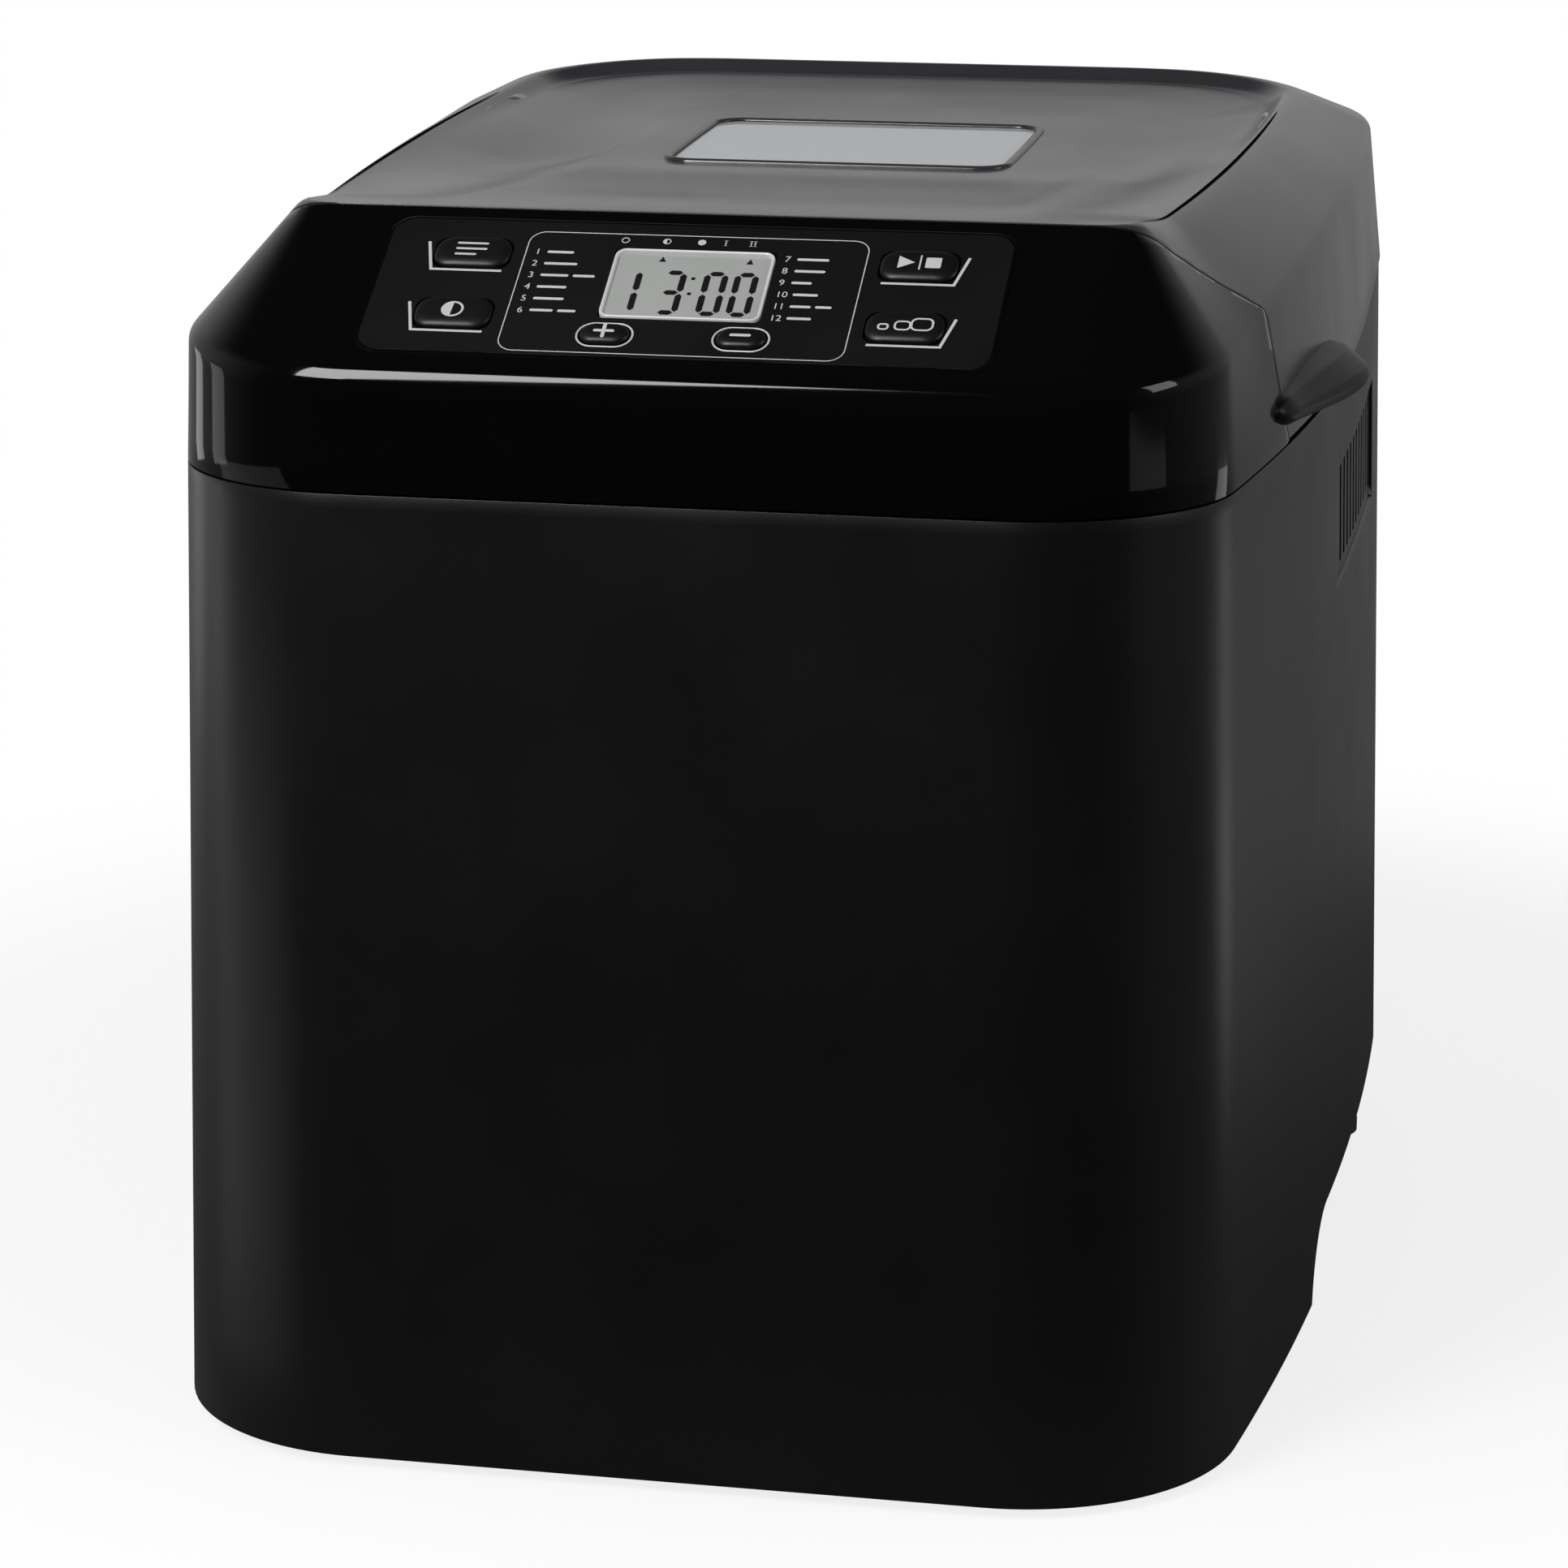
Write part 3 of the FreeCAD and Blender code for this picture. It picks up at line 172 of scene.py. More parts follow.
class TabSizes(bpy.types.PropertyGroup):
    """Thumb tab on the lid's right side."""

    start: length("Start", 0.084, "Depth of the tab's front tip")
    run: length("Run", 0.076, "Length of the tab")
    finger_gap: length("Finger gap", 0.0008, "Extra height of the seam under the tab")
    reach: length("Reach", 0.0108, "How far the tab stands out of the lid's inner side")
    low: length("Low", 0.2112, "Height of the tab's lower edge")
    tall: length("Height", 0.0126, "Height of the tab at its root")


class Colours(bpy.types.PropertyGroup):
    """Base colours of the finishes."""

    body: tint("Body", (0.004, 0.004, 0.0042), "Satin black of the body")
    gloss: tint("Gloss", (0.002, 0.002, 0.0022), "Gloss black of the control housing")
    lid: tint("Lid", (0.032, 0.033, 0.037), "Gloss dark grey of the lid")
    tab: tint("Tab", (0.007, 0.007, 0.0075), "Dark grey of the thumb tab")
    plate: tint("Plate", (0.0038, 0.0036, 0.0032), "Matte black of the control plate")
    print: tint("Print", (0.55, 0.55, 0.55), "Light grey of the printed lines and signs")
    display: tint("Display", (0.37, 0.38, 0.37), "Pale grey of the display")
    digits: tint("Digits", (0.006, 0.006, 0.006), "Near black of the digits")
    steel: tint("Steel", (0.58, 0.58, 0.59), "Bare steel")
    coating: tint("Coating", (0.055, 0.055, 0.058), "Non-stick coating of the pan")
    rubber: tint("Rubber", (0.02, 0.02, 0.021), "Rubber of feet, belt and gland")
    floor: tint("Floor", (0.9, 0.9, 0.9), "Pale studio floor")


class BreadMachine(bpy.types.PropertyGroup):
    """All sizes and colours of the bread machine."""

    shell: bpy.props.PointerProperty(type=ShellSizes)
    vents: bpy.props.PointerProperty(type=VentSizes)
    panel: bpy.props.PointerProperty(type=PanelSizes)
    tab: bpy.props.PointerProperty(type=TabSizes)
    colours: bpy.props.PointerProperty(type=Colours)


def settings():
    return bpy.context.scene.bread_machine


# Shader groups that several finishes share


def link(tree, source, output, target, socket):
    tree.links.new(source.outputs[output], target.inputs[socket])


def colour_sockets(mix):
    """First colour, second colour and result of a Mix node that is set to colours."""
    first, second = [socket for socket in mix.inputs if socket.type == "RGBA"]
    result = [socket for socket in mix.outputs if socket.type == "RGBA"][0]
    return first, second, result


def grain_group():
    """Fine moulded grain: two noises, one ten times coarser, added to one height."""
    group = bpy.data.node_groups.get("moulded_grain")
    if group:
        return group
    group = bpy.data.node_groups.new("moulded_grain", "ShaderNodeTree")
    scale = group.interface.new_socket("Scale", in_out="INPUT", socket_type="NodeSocketFloat")
    scale.default_value = 2000.0
    group.interface.new_socket("Height", in_out="OUTPUT", socket_type="NodeSocketFloat")
    start = group.nodes.new("NodeGroupInput")
    end = group.nodes.new("NodeGroupOutput")
    place = group.nodes.new("ShaderNodeTexCoord")
    coarse_scale = group.nodes.new("ShaderNodeMath")
    coarse_scale.operation = "MULTIPLY"
    coarse_scale.inputs[1].default_value = 0.1
    total = group.nodes.new("ShaderNodeMath")
    total.operation = "ADD"
    fine = group.nodes.new("ShaderNodeTexNoise")
    coarse = group.nodes.new("ShaderNodeTexNoise")
    link(group, start, "Scale", coarse_scale, 0)
    link(group, start, "Scale", fine, "Scale")
    link(group, coarse_scale, 0, coarse, "Scale")
    for noise, side in ((fine, 0), (coarse, 1)):
        noise.inputs["Detail"].default_value = 3.0
        link(group, place, "Object", noise, "Vector")
        link(group, noise, "Fac", total, side)
    link(group, total, 0, end, "Height")
    return group


def handling_group():
    """Handling marks: slow noise that moves a roughness between two values."""
    group = bpy.data.node_groups.get("handling_marks")
    if group:
        return group
    group = bpy.data.node_groups.new("handling_marks", "ShaderNodeTree")
    for name, value in (("Scale", 30.0), ("Smooth", 0.1), ("Worn", 0.2)):
        socket = group.interface.new_socket(name, in_out="INPUT", socket_type="NodeSocketFloat")
        socket.default_value = value
    group.interface.new_socket("Roughness", in_out="OUTPUT", socket_type="NodeSocketFloat")
    start = group.nodes.new("NodeGroupInput")
    end = group.nodes.new("NodeGroupOutput")
    place = group.nodes.new("ShaderNodeTexCoord")
    noise = group.nodes.new("ShaderNodeTexNoise")
    noise.inputs["Detail"].default_value = 5.0
    spread = group.nodes.new("ShaderNodeMapRange")
    spread.inputs["From Min"].default_value = 0.3
    spread.inputs["From Max"].default_value = 0.7
    link(group, place, "Object", noise, "Vector")
    link(group, start, "Scale", noise, "Scale")
    link(group, noise, "Fac", spread, "Value")
    link(group, start, "Smooth", spread, "To Min")
    link(group, start, "Worn", spread, "To Max")
    link(group, spread, "Result", end, "Roughness")
    return group


def shade_group():
    """Slight unevenness of a colour: noise mixes it with a darker one."""
    group = bpy.data.node_groups.get("colour_shade")
    if group:
        return group
    group = bpy.data.node_groups.new("colour_shade", "ShaderNodeTree")
    for name in ("Light", "Dark"):
        group.interface.new_socket(name, in_out="INPUT", socket_type="NodeSocketColor")
    scale = group.interface.new_socket("Scale", in_out="INPUT", socket_type="NodeSocketFloat")
    scale.default_value = 60.0
    group.interface.new_socket("Colour", in_out="OUTPUT", socket_type="NodeSocketColor")
    start = group.nodes.new("NodeGroupInput")
    end = group.nodes.new("NodeGroupOutput")
    place = group.nodes.new("ShaderNodeTexCoord")
    noise = group.nodes.new("ShaderNodeTexNoise")
    noise.inputs["Detail"].default_value = 4.0
    mix = group.nodes.new("ShaderNodeMix")
    mix.data_type = "RGBA"
    link(group, place, "Object", noise, "Vector")
    link(group, start, "Scale", noise, "Scale")
    dark, light, mixed = colour_sockets(mix)
    link(group, noise, "Fac", mix, "Factor")
    group.links.new(start.outputs["Dark"], dark)
    group.links.new(start.outputs["Light"], light)
    group.links.new(mixed, end.inputs["Colour"])
    return group


# Finishes

# Darkest shade of an uneven colour, as a share of it
MOULDED_SHADE = 0.82
METAL_SHADE = 0.85


def new_finish(name):
    """New material, its node tree and its Principled shader."""
    material = bpy.data.materials.new(name)
    material.use_nodes = True
    shader = material.node_tree.nodes["Principled BSDF"]
    return material, material.node_tree, shader


def add_group(tree, group, **values):
    node = tree.nodes.new("ShaderNodeGroup")
    node.node_tree = group
    for name, value in values.items():
        node.inputs[name].default_value = value
    return node


def moulded(name, colour, smooth, worn, grain, depth, specular=0.5):
    """Moulded or painted surface: uneven colour, handling marks in the roughness and a fine grain."""
    material, tree, shader = new_finish(name)
    light = (*colour, 1.0)
    dark = (*[c * MOULDED_SHADE for c in colour], 1.0)
    shade = add_group(tree, shade_group(), Light=light, Dark=dark, Scale=45.0)
    link(tree, shade, "Colour", shader, "Base Color")
    marks = add_group(tree, handling_group(), Scale=26.0, Smooth=smooth, Worn=worn)
    link(tree, marks, "Roughness", shader, "Roughness")
    height = add_group(tree, grain_group(), Scale=grain)
    bump = tree.nodes.new("ShaderNodeBump")
    bump.inputs["Strength"].default_value = 1.0
    bump.inputs["Distance"].default_value = depth
    link(tree, height, "Height", bump, "Height")
    link(tree, bump, "Normal", shader, "Normal")
    shader.inputs["Specular IOR Level"].default_value = specular
    return material


def metal(name, colour, smooth, worn, stretch):
    """Bare metal: uneven colour, handling marks in the roughness and stretched noise in the normal."""
    material, tree, shader = new_finish(name)
    shader.inputs["Metallic"].default_value = 1.0
    light = (*colour, 1.0)
    dark = (*[c * METAL_SHADE for c in colour], 1.0)
    shade = add_group(tree, shade_group(), Light=light, Dark=dark, Scale=18.0)
    link(tree, shade, "Colour", shader, "Base Color")
    marks = add_group(tree, handling_group(), Scale=60.0, Smooth=smooth, Worn=worn)
    link(tree, marks, "Roughness", shader, "Roughness")
    place = tree.nodes.new("ShaderNodeTexCoord")
    drawn = tree.nodes.new("ShaderNodeMapping")
    drawn.inputs["Scale"].default_value = stretch
    scratch = tree.nodes.new("ShaderNodeTexNoise")
    scratch.inputs["Scale"].default_value = 900.0
    bump = tree.nodes.new("ShaderNodeBump")
    bump.inputs["Strength"].default_value = 0.4
    bump.inputs["Distance"].default_value = 0.00005
    link(tree, place, "Object", drawn, "Vector")
    link(tree, drawn, "Vector", scratch, "Vector")
    link(tree, scratch, "Fac", bump, "Height")
    link(tree, bump, "Normal", shader, "Normal")
    return material


def clear_glass():
    """Clear pane with faint haze in its roughness and a pale cast."""
    material, tree, shader = new_finish("clear_glass")
    shader.inputs["Base Color"].default_value = (0.57, 0.59, 0.61, 1.0)
    shader.inputs["Transmission Weight"].default_value = 0.3
    shader.inputs["IOR"].default_value = 1.45
    marks = add_group(tree, handling_group(), Scale=40.0, Smooth=0.02, Worn=0.06)
    link(tree, marks, "Roughness", shader, "Roughness")
    return material


def display_finish():
    """Liquid crystal face: pale grey with a faint unevenness, under a smooth surface."""
    colours = settings().colours
    return moulded("display_face", colours.display, 0.12, 0.2, 3000.0, 0.000004, specular=0.4)


def make_finishes():
    """Every finish by name; each is made once."""
    c = settings().colours
    return {
        "body_satin_black": moulded("body_satin_black", c.body, 0.3, 0.36, 2600.0, 0.000012, specular=0.35),
        "gloss_black": moulded("gloss_black", c.gloss, 0.05, 0.08, 1500.0, 0.000001, specular=0.2),
        "lid_gloss": moulded("lid_gloss", c.lid, 0.16, 0.22, 2400.0, 0.000006, specular=0.45),
        "crease_shade": moulded("crease_shade", c.gloss, 0.9, 1.0, 2400.0, 0.000006, specular=0.0),
        "dark_grey": moulded("dark_grey", c.tab, 0.34, 0.4, 2600.0, 0.000012, specular=0.16),
        "control_plate_black": moulded("control_plate_black", c.plate, 0.36, 0.42, 2600.0, 0.000008,
                                       specular=0.3),
        "button_black": moulded("button_black", [v * 1.1 for v in c.plate], 0.36, 0.44, 3200.0, 0.000006,
                                specular=0.25),
        "panel_print": moulded("panel_print", c.print, 0.45, 0.55, 4000.0, 0.000002),
        "display_rim": moulded("display_rim", [v * 1.15 for v in c.print], 0.22, 0.3, 3000.0, 0.000003),
        "display_grey": display_finish(),
        "digit_ink": moulded("digit_ink", c.digits, 0.4, 0.5, 4000.0, 0.000001, specular=0.2),
        "clear_glass": clear_glass(),
        "oven_steel": metal("oven_steel", c.steel, 0.34, 0.38, (1.0, 0.05, 0.05)),
        "steel": metal("steel", c.steel, 0.2, 0.32, (0.04, 1.0, 1.0)),
        "pan_coating": moulded("pan_coating", c.coating, 0.38, 0.5, 1600.0, 0.00003),
        "cast_aluminium": metal("cast_aluminium", (0.66, 0.66, 0.68), 0.42, 0.55, (1.0, 1.0, 1.0)),
        "bronze": metal("bronze", (0.62, 0.42, 0.2), 0.4, 0.5, (1.0, 1.0, 1.0)),
        "pulley_plastic": moulded("pulley_plastic", (0.6, 0.6, 0.57), 0.4, 0.5, 1800.0, 0.00001),
        "rubber": moulded("rubber", c.rubber, 0.62, 0.75, 1400.0, 0.00003),
        "silicone": moulded("silicone", (0.4, 0.4, 0.4), 0.55, 0.65, 1800.0, 0.00001),
        "circuit_green": moulded("circuit_green", (0.02, 0.13, 0.05), 0.3, 0.4, 900.0, 0.00002),
        "component_black": moulded("component_black", (0.03, 0.03, 0.03), 0.4, 0.5, 2000.0, 0.00001),
    }


finishes = {}

# Surfaces on a grid

LINE_STEPS = 26
CORNER_STEPS = 22
SIDE_STEPS = 90
BEND_STEPS = 6
CUT_LIMIT = 0.34
SUPPORT_SHARE = 1.4


def half_outline(half, front, rear, front_round, rear_round, along=None):
    """Right half of a plan outline, from the middle of the front to the middle of the rear.

    A straight front, a round corner, a side that is an arc of large radius about a hub on the line
    where the body is widest, another round corner and a straight rear. along gives the side's own y
    values; otherwise its points are evenly spaced.
    """
    s = settings().shell
    bow = s.bow - s.width / 2 + half
    hub = np.array([half - bow, s.widest - s.depth / 2])
    corners = []
    for edge, radius, way in ((front, front_round, 1), (rear, rear_round, -1)):
        centre_y = edge + way * radius
        reach = bow - radius
        lean = math.asin((centre_y - hub[1]) / reach)
        corners.append((np.array([hub[0] + reach * math.cos(lean), centre_y]), lean))
    (front_centre, front_lean), (rear_centre, rear_lean) = corners
    line = np.linspace(0, 1, LINE_STEPS, endpoint=False)
    bend = np.linspace(0, 1, CORNER_STEPS, endpoint=False)
    if along is None:
        side_turn = np.linspace(front_lean, rear_lean, SIDE_STEPS, endpoint=False)
    else:
        side_turn = np.concatenate([[front_lean], np.arcsin((along - hub[1]) / bow)])
    quarter = math.pi / 2

    def arc(centre, radius, turns):
        return centre + radius * np.stack([np.cos(turns), np.sin(turns)], 1)

    return np.vstack([
        np.stack([front_centre[0] * line, np.full_like(line, front)], 1),
        arc(front_centre, front_round, -quarter + bend * (front_lean + quarter)),
        arc(hub, bow, side_turn),
        arc(rear_centre, rear_round, rear_lean + bend * (quarter - rear_lean)),
        np.stack([rear_centre[0] * (1 - line), np.full_like(line, rear)], 1),
        [[0.0, rear]],
    ])


def outline(*sizes, along=None):
    """Whole plan outline, anticlockwise from the middle of the front, by mirroring its right half."""
    right = half_outline(*sizes, along=along)
    left = right[-2:0:-1] * [-1, 1]
    return np.vstack([right, left])


def body_outline(inset, along=None):
    s = settings().shell
    return outline(s.width / 2 - inset, inset - s.depth / 2, s.depth / 2 - inset,
                   s.front_corner - inset, s.rear_corner - inset, along=along)


def outward(ring):
    """Unit normals of a closed anticlockwise outline, from the chord between each point's neighbours."""
    chord = np.roll(ring, -1, 0) - np.roll(ring, 1, 0)
    normal = np.stack([chord[:, 1], -chord[:, 0]], 1)
    return normal / np.linalg.norm(normal, axis=1, keepdims=True)


def raised(ring, z):
    return np.column_stack([ring, np.broadcast_to(z, len(ring))])


def rounded_rings(corners, rounds, spans):
    """Rings that follow a polyline of rings, with its inner corners rounded.

    At each inner ring a quadratic curve runs from one cut before the corner to one cut after it, with
    a support ring on each side that keeps the flat stretches flat. A cut takes no more than CUT_LIMIT
    of its stretch. spans gives the number of rings along each straight stretch.
    """
    rings = [corners[0]]
    bend = np.linspace(0, 1, BEND_STEPS)[:, None, None]
    for i in range(1, len(corners) - 1):
        here = corners[i]
        ends = []
        for other in (corners[i - 1], corners[i + 1]):
            way = other - here
            size = np.maximum(np.linalg.norm(way, axis=1, keepdims=True), 1e-9)
            cut = np.minimum(rounds[i - 1], size * CUT_LIMIT)
            ends.append((here + way / size * cut * SUPPORT_SHARE, here + way / size * cut))
        (before_support, before), (after_support, after) = ends
        stretch = np.linspace(0, 1, spans[i - 1] + 1)[1:, None, None]
        rings.extend(rings[-1] + (before_support - rings[-1]) * stretch)
        rings.extend(before * (1 - bend) ** 2 + 2 * here * bend * (1 - bend) + after * bend ** 2)
        rings.append(after_support)
    stretch = np.linspace(0, 1, spans[-1] + 1)[1:, None, None]
    rings.extend(rings[-1] + (corners[-1] - rings[-1]) * stretch)
    return np.array(rings)


def grid_faces(rows, columns, closed=True):
    """Quads of a grid, by rows, each row closed on itself or open."""
    last = columns if closed else columns - 1
    row, column = np.meshgrid(np.arange(rows - 1), np.arange(last), indexing="ij")
    after = (column + 1) % columns
    return np.stack([row * columns + column, row * columns + after,
                     (row + 1) * columns + after, (row + 1) * columns + column], -1)


def add_piece(name, points, faces, finish, smooth=True):
    """Object from arrays of points and faces, at the origin."""
    mesh = bpy.data.meshes.new(name)
    if isinstance(faces, np.ndarray):
        faces = faces.reshape(-1, 4).tolist()
    mesh.from_pydata(np.asarray(points).reshape(-1, 3).tolist(), [], faces)
    mesh.materials.append(finishes[finish])
    mesh.polygons.foreach_set("use_smooth", np.full(len(mesh.polygons), smooth))
    mesh.update()
    piece = bpy.data.objects.new(name, mesh)
    bpy.context.scene.collection.objects.link(piece)
    return piece


def settle(piece, body, slot, *nodes):
    """Puts a piece on its body and hides the nodes that it stands for; slot is not used."""
    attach(piece, body)
    if nodes:
        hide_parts(*nodes)


def thicken(piece, wall, edge):
    """Gives a skin its wall, inwards, and breaks the edges of its rims."""
    solid = piece.modifiers.new("wall", "SOLIDIFY")
    solid.thickness = wall
    solid.offset = -1.0
    solid.use_even_offset = True
    solid.use_quality_normals = True
    bevel = piece.modifiers.new("edges", "BEVEL")
    bevel.width = edge
    bevel.segments = 2
    bevel.limit_method = "ANGLE"
    bevel.angle_limit = math.radians(50)


# Levels of the shells


def depth_of(y):
    return y + settings().shell.depth / 2


def seam_level(y):
    """Seam height: level, then an S of two equal arcs up to the rear."""
    s = settings().shell
    along = np.clip(depth_of(y) - (s.depth - s.rise_run), 0, s.rise_run)
    radius = (s.rise_run ** 2 + s.rise ** 2) / (4 * s.rise)
    first = radius - np.sqrt(radius ** 2 - np.minimum(along, s.rise_run / 2) ** 2)
    left = s.rise_run - np.maximum(along, s.rise_run / 2)
    second = s.rise - radius + np.sqrt(radius ** 2 - left ** 2)
    return s.seam + np.where(along < s.rise_run / 2, first, second)


def tail_level(y):
    """Lower edge of the body: level, then an arc that rises and ends level, then level again."""
    s = settings().shell
    rise = s.tail_lift - s.lift
    radius = (s.tail_run ** 2 + rise ** 2) / (2 * rise)
    left = np.clip(s.tail_start + s.tail_run - depth_of(y), 0, s.tail_run)
    curve = s.tail_lift - radius + np.sqrt(radius ** 2 - left ** 2)
    return np.where(depth_of(y) < s.tail_start, s.lift, curve)


def brow_level(y):
    s = settings().shell
    return s.brow + (s.brow_rear - s.brow) * depth_of(y) / s.depth


def top_level(y):
    s = settings().shell
    share = (depth_of(y) - s.panel_depth) / (s.crest - s.panel_depth)
    return s.panel_top + (s.crest_top - s.panel_top) * share


def hollow_level(ring):
    """Floor of the lid's hollow along a ring: the smooth maximum of a falling plane a and a rising plane b.

    The maximum is (a + b + root of ((a - b) squared + blend squared)) / 2; the sides sag with the top.
    """
    s = settings().shell
    low = s.panel_top - s.hollow_step - math.tan(s.hollow_fall) * (s.hollow_turn - s.panel_depth)
    behind = depth_of(ring[:, 1]) - s.hollow_turn
    falling = low - math.tan(s.hollow_fall) * behind
    rising = low + math.tan(s.hollow_rise) * behind
    blended = (falling + rising + np.sqrt((falling - rising) ** 2 + s.hollow_blend ** 2)) / 2
    return blended - side_fall(ring, s.settled)


REAR_SAG = 0.3


def side_fall(ring, full_at):
    """Sag of the lid's top along a ring.

    It grows outwards from the middle half and backwards to a given depth, by smooth steps, and behind
    the hip it shrinks to REAR_SAG in a straight line.
    """
    s = settings().shell
    half = s.width / 2 - s.top_inset
    outer = soft_step(2 * np.abs(ring[:, 0]) / half - 1)
    behind = soft_step((depth_of(ring[:, 1]) - s.panel_depth) / (full_at - s.panel_depth))
    later = np.clip((depth_of(ring[:, 1]) - s.hip) / (s.crest - s.hip), 0, 1)
    return s.side_sag * outer * behind * (1 - (1 - REAR_SAG) * later)


def soft_step(share):
    """Smooth step from 0 to 1: 3 t squared - 2 t cubed."""
    t = np.clip(share, 0, 1)
    return t * t * (3 - 2 * t)


def flare_at(z):
    s = settings().shell
    return s.flare * (s.seam - z) / s.seam


# Shells

VENT_EDGE = 0.0002


def side_marks():
    """Side y values: evenly spread, with extra ones at the vents' edges and along the tail's rise."""
    s = settings().shell
    v = settings().vents
    slots = v.start + v.pitch * np.arange(v.number)
    first = v.start - v.border
    last = slots[-1] + v.slot + v.border
    rise = s.tail_start + s.tail_run * (1 - np.cos(np.linspace(0, math.pi / 2, 12)))
    marks = np.concatenate([slots, slots + v.slot, [first, first + VENT_EDGE, last - VENT_EDGE, last],
                            rise, [s.tail_start - VENT_EDGE]])
    even = np.linspace(s.front_corner, s.depth - s.rear_corner - VENT_EDGE, 80)
    even = even[np.abs(even[:, None] - marks).min(1) > v.slot / 3]
    return np.sort(np.concatenate([even, marks])) - s.depth / 2


def body_skin():
    """Body surface on a grid of outline and height.

    Each column is a place on the plan outline and each row a level: the lower edge, plain heights,
    the vents' own slanted lines and the seam. Points stand out by the flare at their height, and by
    less in the vents' recess. Quads in the slots are left out.
    """
    s = settings().shell
    v = settings().vents
    ring = body_outline(0, side_marks())
    normal = outward(ring)
    y = ring[:, 1]
    depth = depth_of(y)
    first = v.start - v.border
    last = v.start + v.pitch * (v.number - 1) + v.slot + v.border
    low = v.low + math.tan(v.slant) * (np.clip(depth, first, last) - v.start)
    high = low + v.tall
    plain = np.linspace(s.tail_lift + s.wall, v.low - 3 * v.border, 7)
    levels = [tail_level(y), *[np.full_like(y, z) for z in plain],
              low - v.border - VENT_EDGE, low - v.border, low, high, high + v.border,
              high + v.border + VENT_EDGE, seam_level(y) - 2 * s.edge_round, seam_level(y) - s.gap / 2]
    slot_row = len(plain) + 3
    sides = np.abs(ring[:, 0]) > s.width / 3
    sunk = sides & (depth > first + VENT_EDGE / 2) & (depth < last - VENT_EDGE / 2)
    rows = []
    for i, z in enumerate(levels):
        recess = v.recess * sunk * (slot_row - 1 <= i <= slot_row + 2)
        rows.append(raised(ring + normal * (flare_at(z) - recess)[:, None], z))
    faces = grid_faces(len(rows), len(ring))
    middle = (depth + np.roll(depth, -1)) / 2
    place = (middle - v.start) / v.pitch
    index = np.clip(np.floor(place), 0, v.number - 1)
    in_slot = sides & (place - index > 0) & (place - index < v.slot / v.pitch)
    keep = np.ones(faces.shape[:2], bool)
    keep[slot_row, in_slot] = False
    return np.array(rows), faces[keep]


WINDOW_CORNER = 0.007
SKIN_SPANS = (4, 10, 3, 4, 12)
SETTLING_RINGS = 4
# Share of the fall into the hollow that the lid's first step takes, at the front and at the rear
FRONT_STEP = 0.2
REAR_STEP = 0.6


def upper_skin():
    """Surface of control housing and lid together, as rings from the seam up and in to the window.

    Corner rings: the seam, the brow line, the edge of the lid's top, the foot of its steep first step, the
    foot of its hollow's slope and the window's edge. The brow is rounder at the front and stands in behind
    the corners; the top's edge sags along the sides, is crisp along the panel and rolls over behind it.
    The rings between the foot and the window then settle on the hollow's floor.
    """
    s = settings().shell
    t = settings().tab
    shift = s.depth / 2
    half = s.width / 2 - s.top_inset
    base = body_outline(0)
    depth = depth_of(base[:, 1])
    under_tab = (base[:, 0] > 0) & (depth > s.lean) & (depth < t.start + t.run)
    brow = base - outward(base) * (s.brow_inset * soft_step(depth / s.hip))[:, None]
    top = outline(half, s.panel_depth - shift, s.crest - shift, s.top_front, s.top_corner)
    brink = outline(half - s.brink, s.panel_depth - shift + s.brink / 4, s.crest - shift - s.brink,
                    s.top_front - s.brink / 4, s.top_corner - s.brink)
    floor = outline(half - s.bowl, s.panel_depth - shift + s.bowl / 4, s.crest - shift - s.bowl,
                    s.bowl / 2, s.top_corner - s.bowl / 2)
    window = outline(pane_high.x, pane_low.y, pane_high.y, WINDOW_CORNER, WINDOW_CORNER)
    brink_at = top_level(brink[:, 1]) - side_fall(brink, s.hip)
    rearward = soft_step((depth_of(brink[:, 1]) - s.hollow_turn) / (s.crest - s.hollow_turn))
    brink_share = FRONT_STEP + (REAR_STEP - FRONT_STEP) * rearward
    brink_drop = np.maximum(brink_at - hollow_level(brink), 0)
    corners = [
        raised(base, seam_level(base[:, 1]) + s.gap / 2 + t.finger_gap * under_tab),
        raised(brow, brow_level(base[:, 1])),
        raised(top, top_level(top[:, 1]) - side_fall(top, s.hip)),
        raised(brink, brink_at - brink_share * brink_drop),
        raised(floor, hollow_level(floor)),
        raised(window, hollow_level(window)),
    ]
    ahead = soft_step(1 - depth[:, None] / s.brow_fade)
    brow_cut = s.edge_round + (s.brow_round - s.edge_round) * ahead
    behind = soft_step((depth_of(top[:, 1:]) - s.panel_depth) / (s.hip - s.panel_depth))
    roll_cut = s.edge_round + (s.roll - s.edge_round) * behind
    rings = rounded_rings(corners, (brow_cut, roll_cut, s.brink / 3, s.soft_round), SKIN_SPANS)
    flat = rings[-SKIN_SPANS[-1]:]
    inwards = soft_step(np.arange(1, len(flat) + 1) / SETTLING_RINGS)[:, None]
    level = np.array([hollow_level(ring) for ring in flat])
    flat[:, :, 2] += (level - flat[:, :, 2]) * inwards
    return rings


def split_planes():
    """Points and normals of the two slanted planes between control housing and lid, normals to the lid."""
    s = settings().shell
    shift = s.depth / 2
    hip_y = s.hip - shift
    spots = [Vector((0, s.panel_depth - shift, s.panel_top)), Vector((0, hip_y, brow_level(hip_y))),
             Vector((0, s.lean - shift, s.seam))]
    planes = []
    for start, end in zip(spots, spots[1:]):
        run = (end - start).normalized()
        planes.append((end, Vector((0, -run.z, run.y))))
    return planes


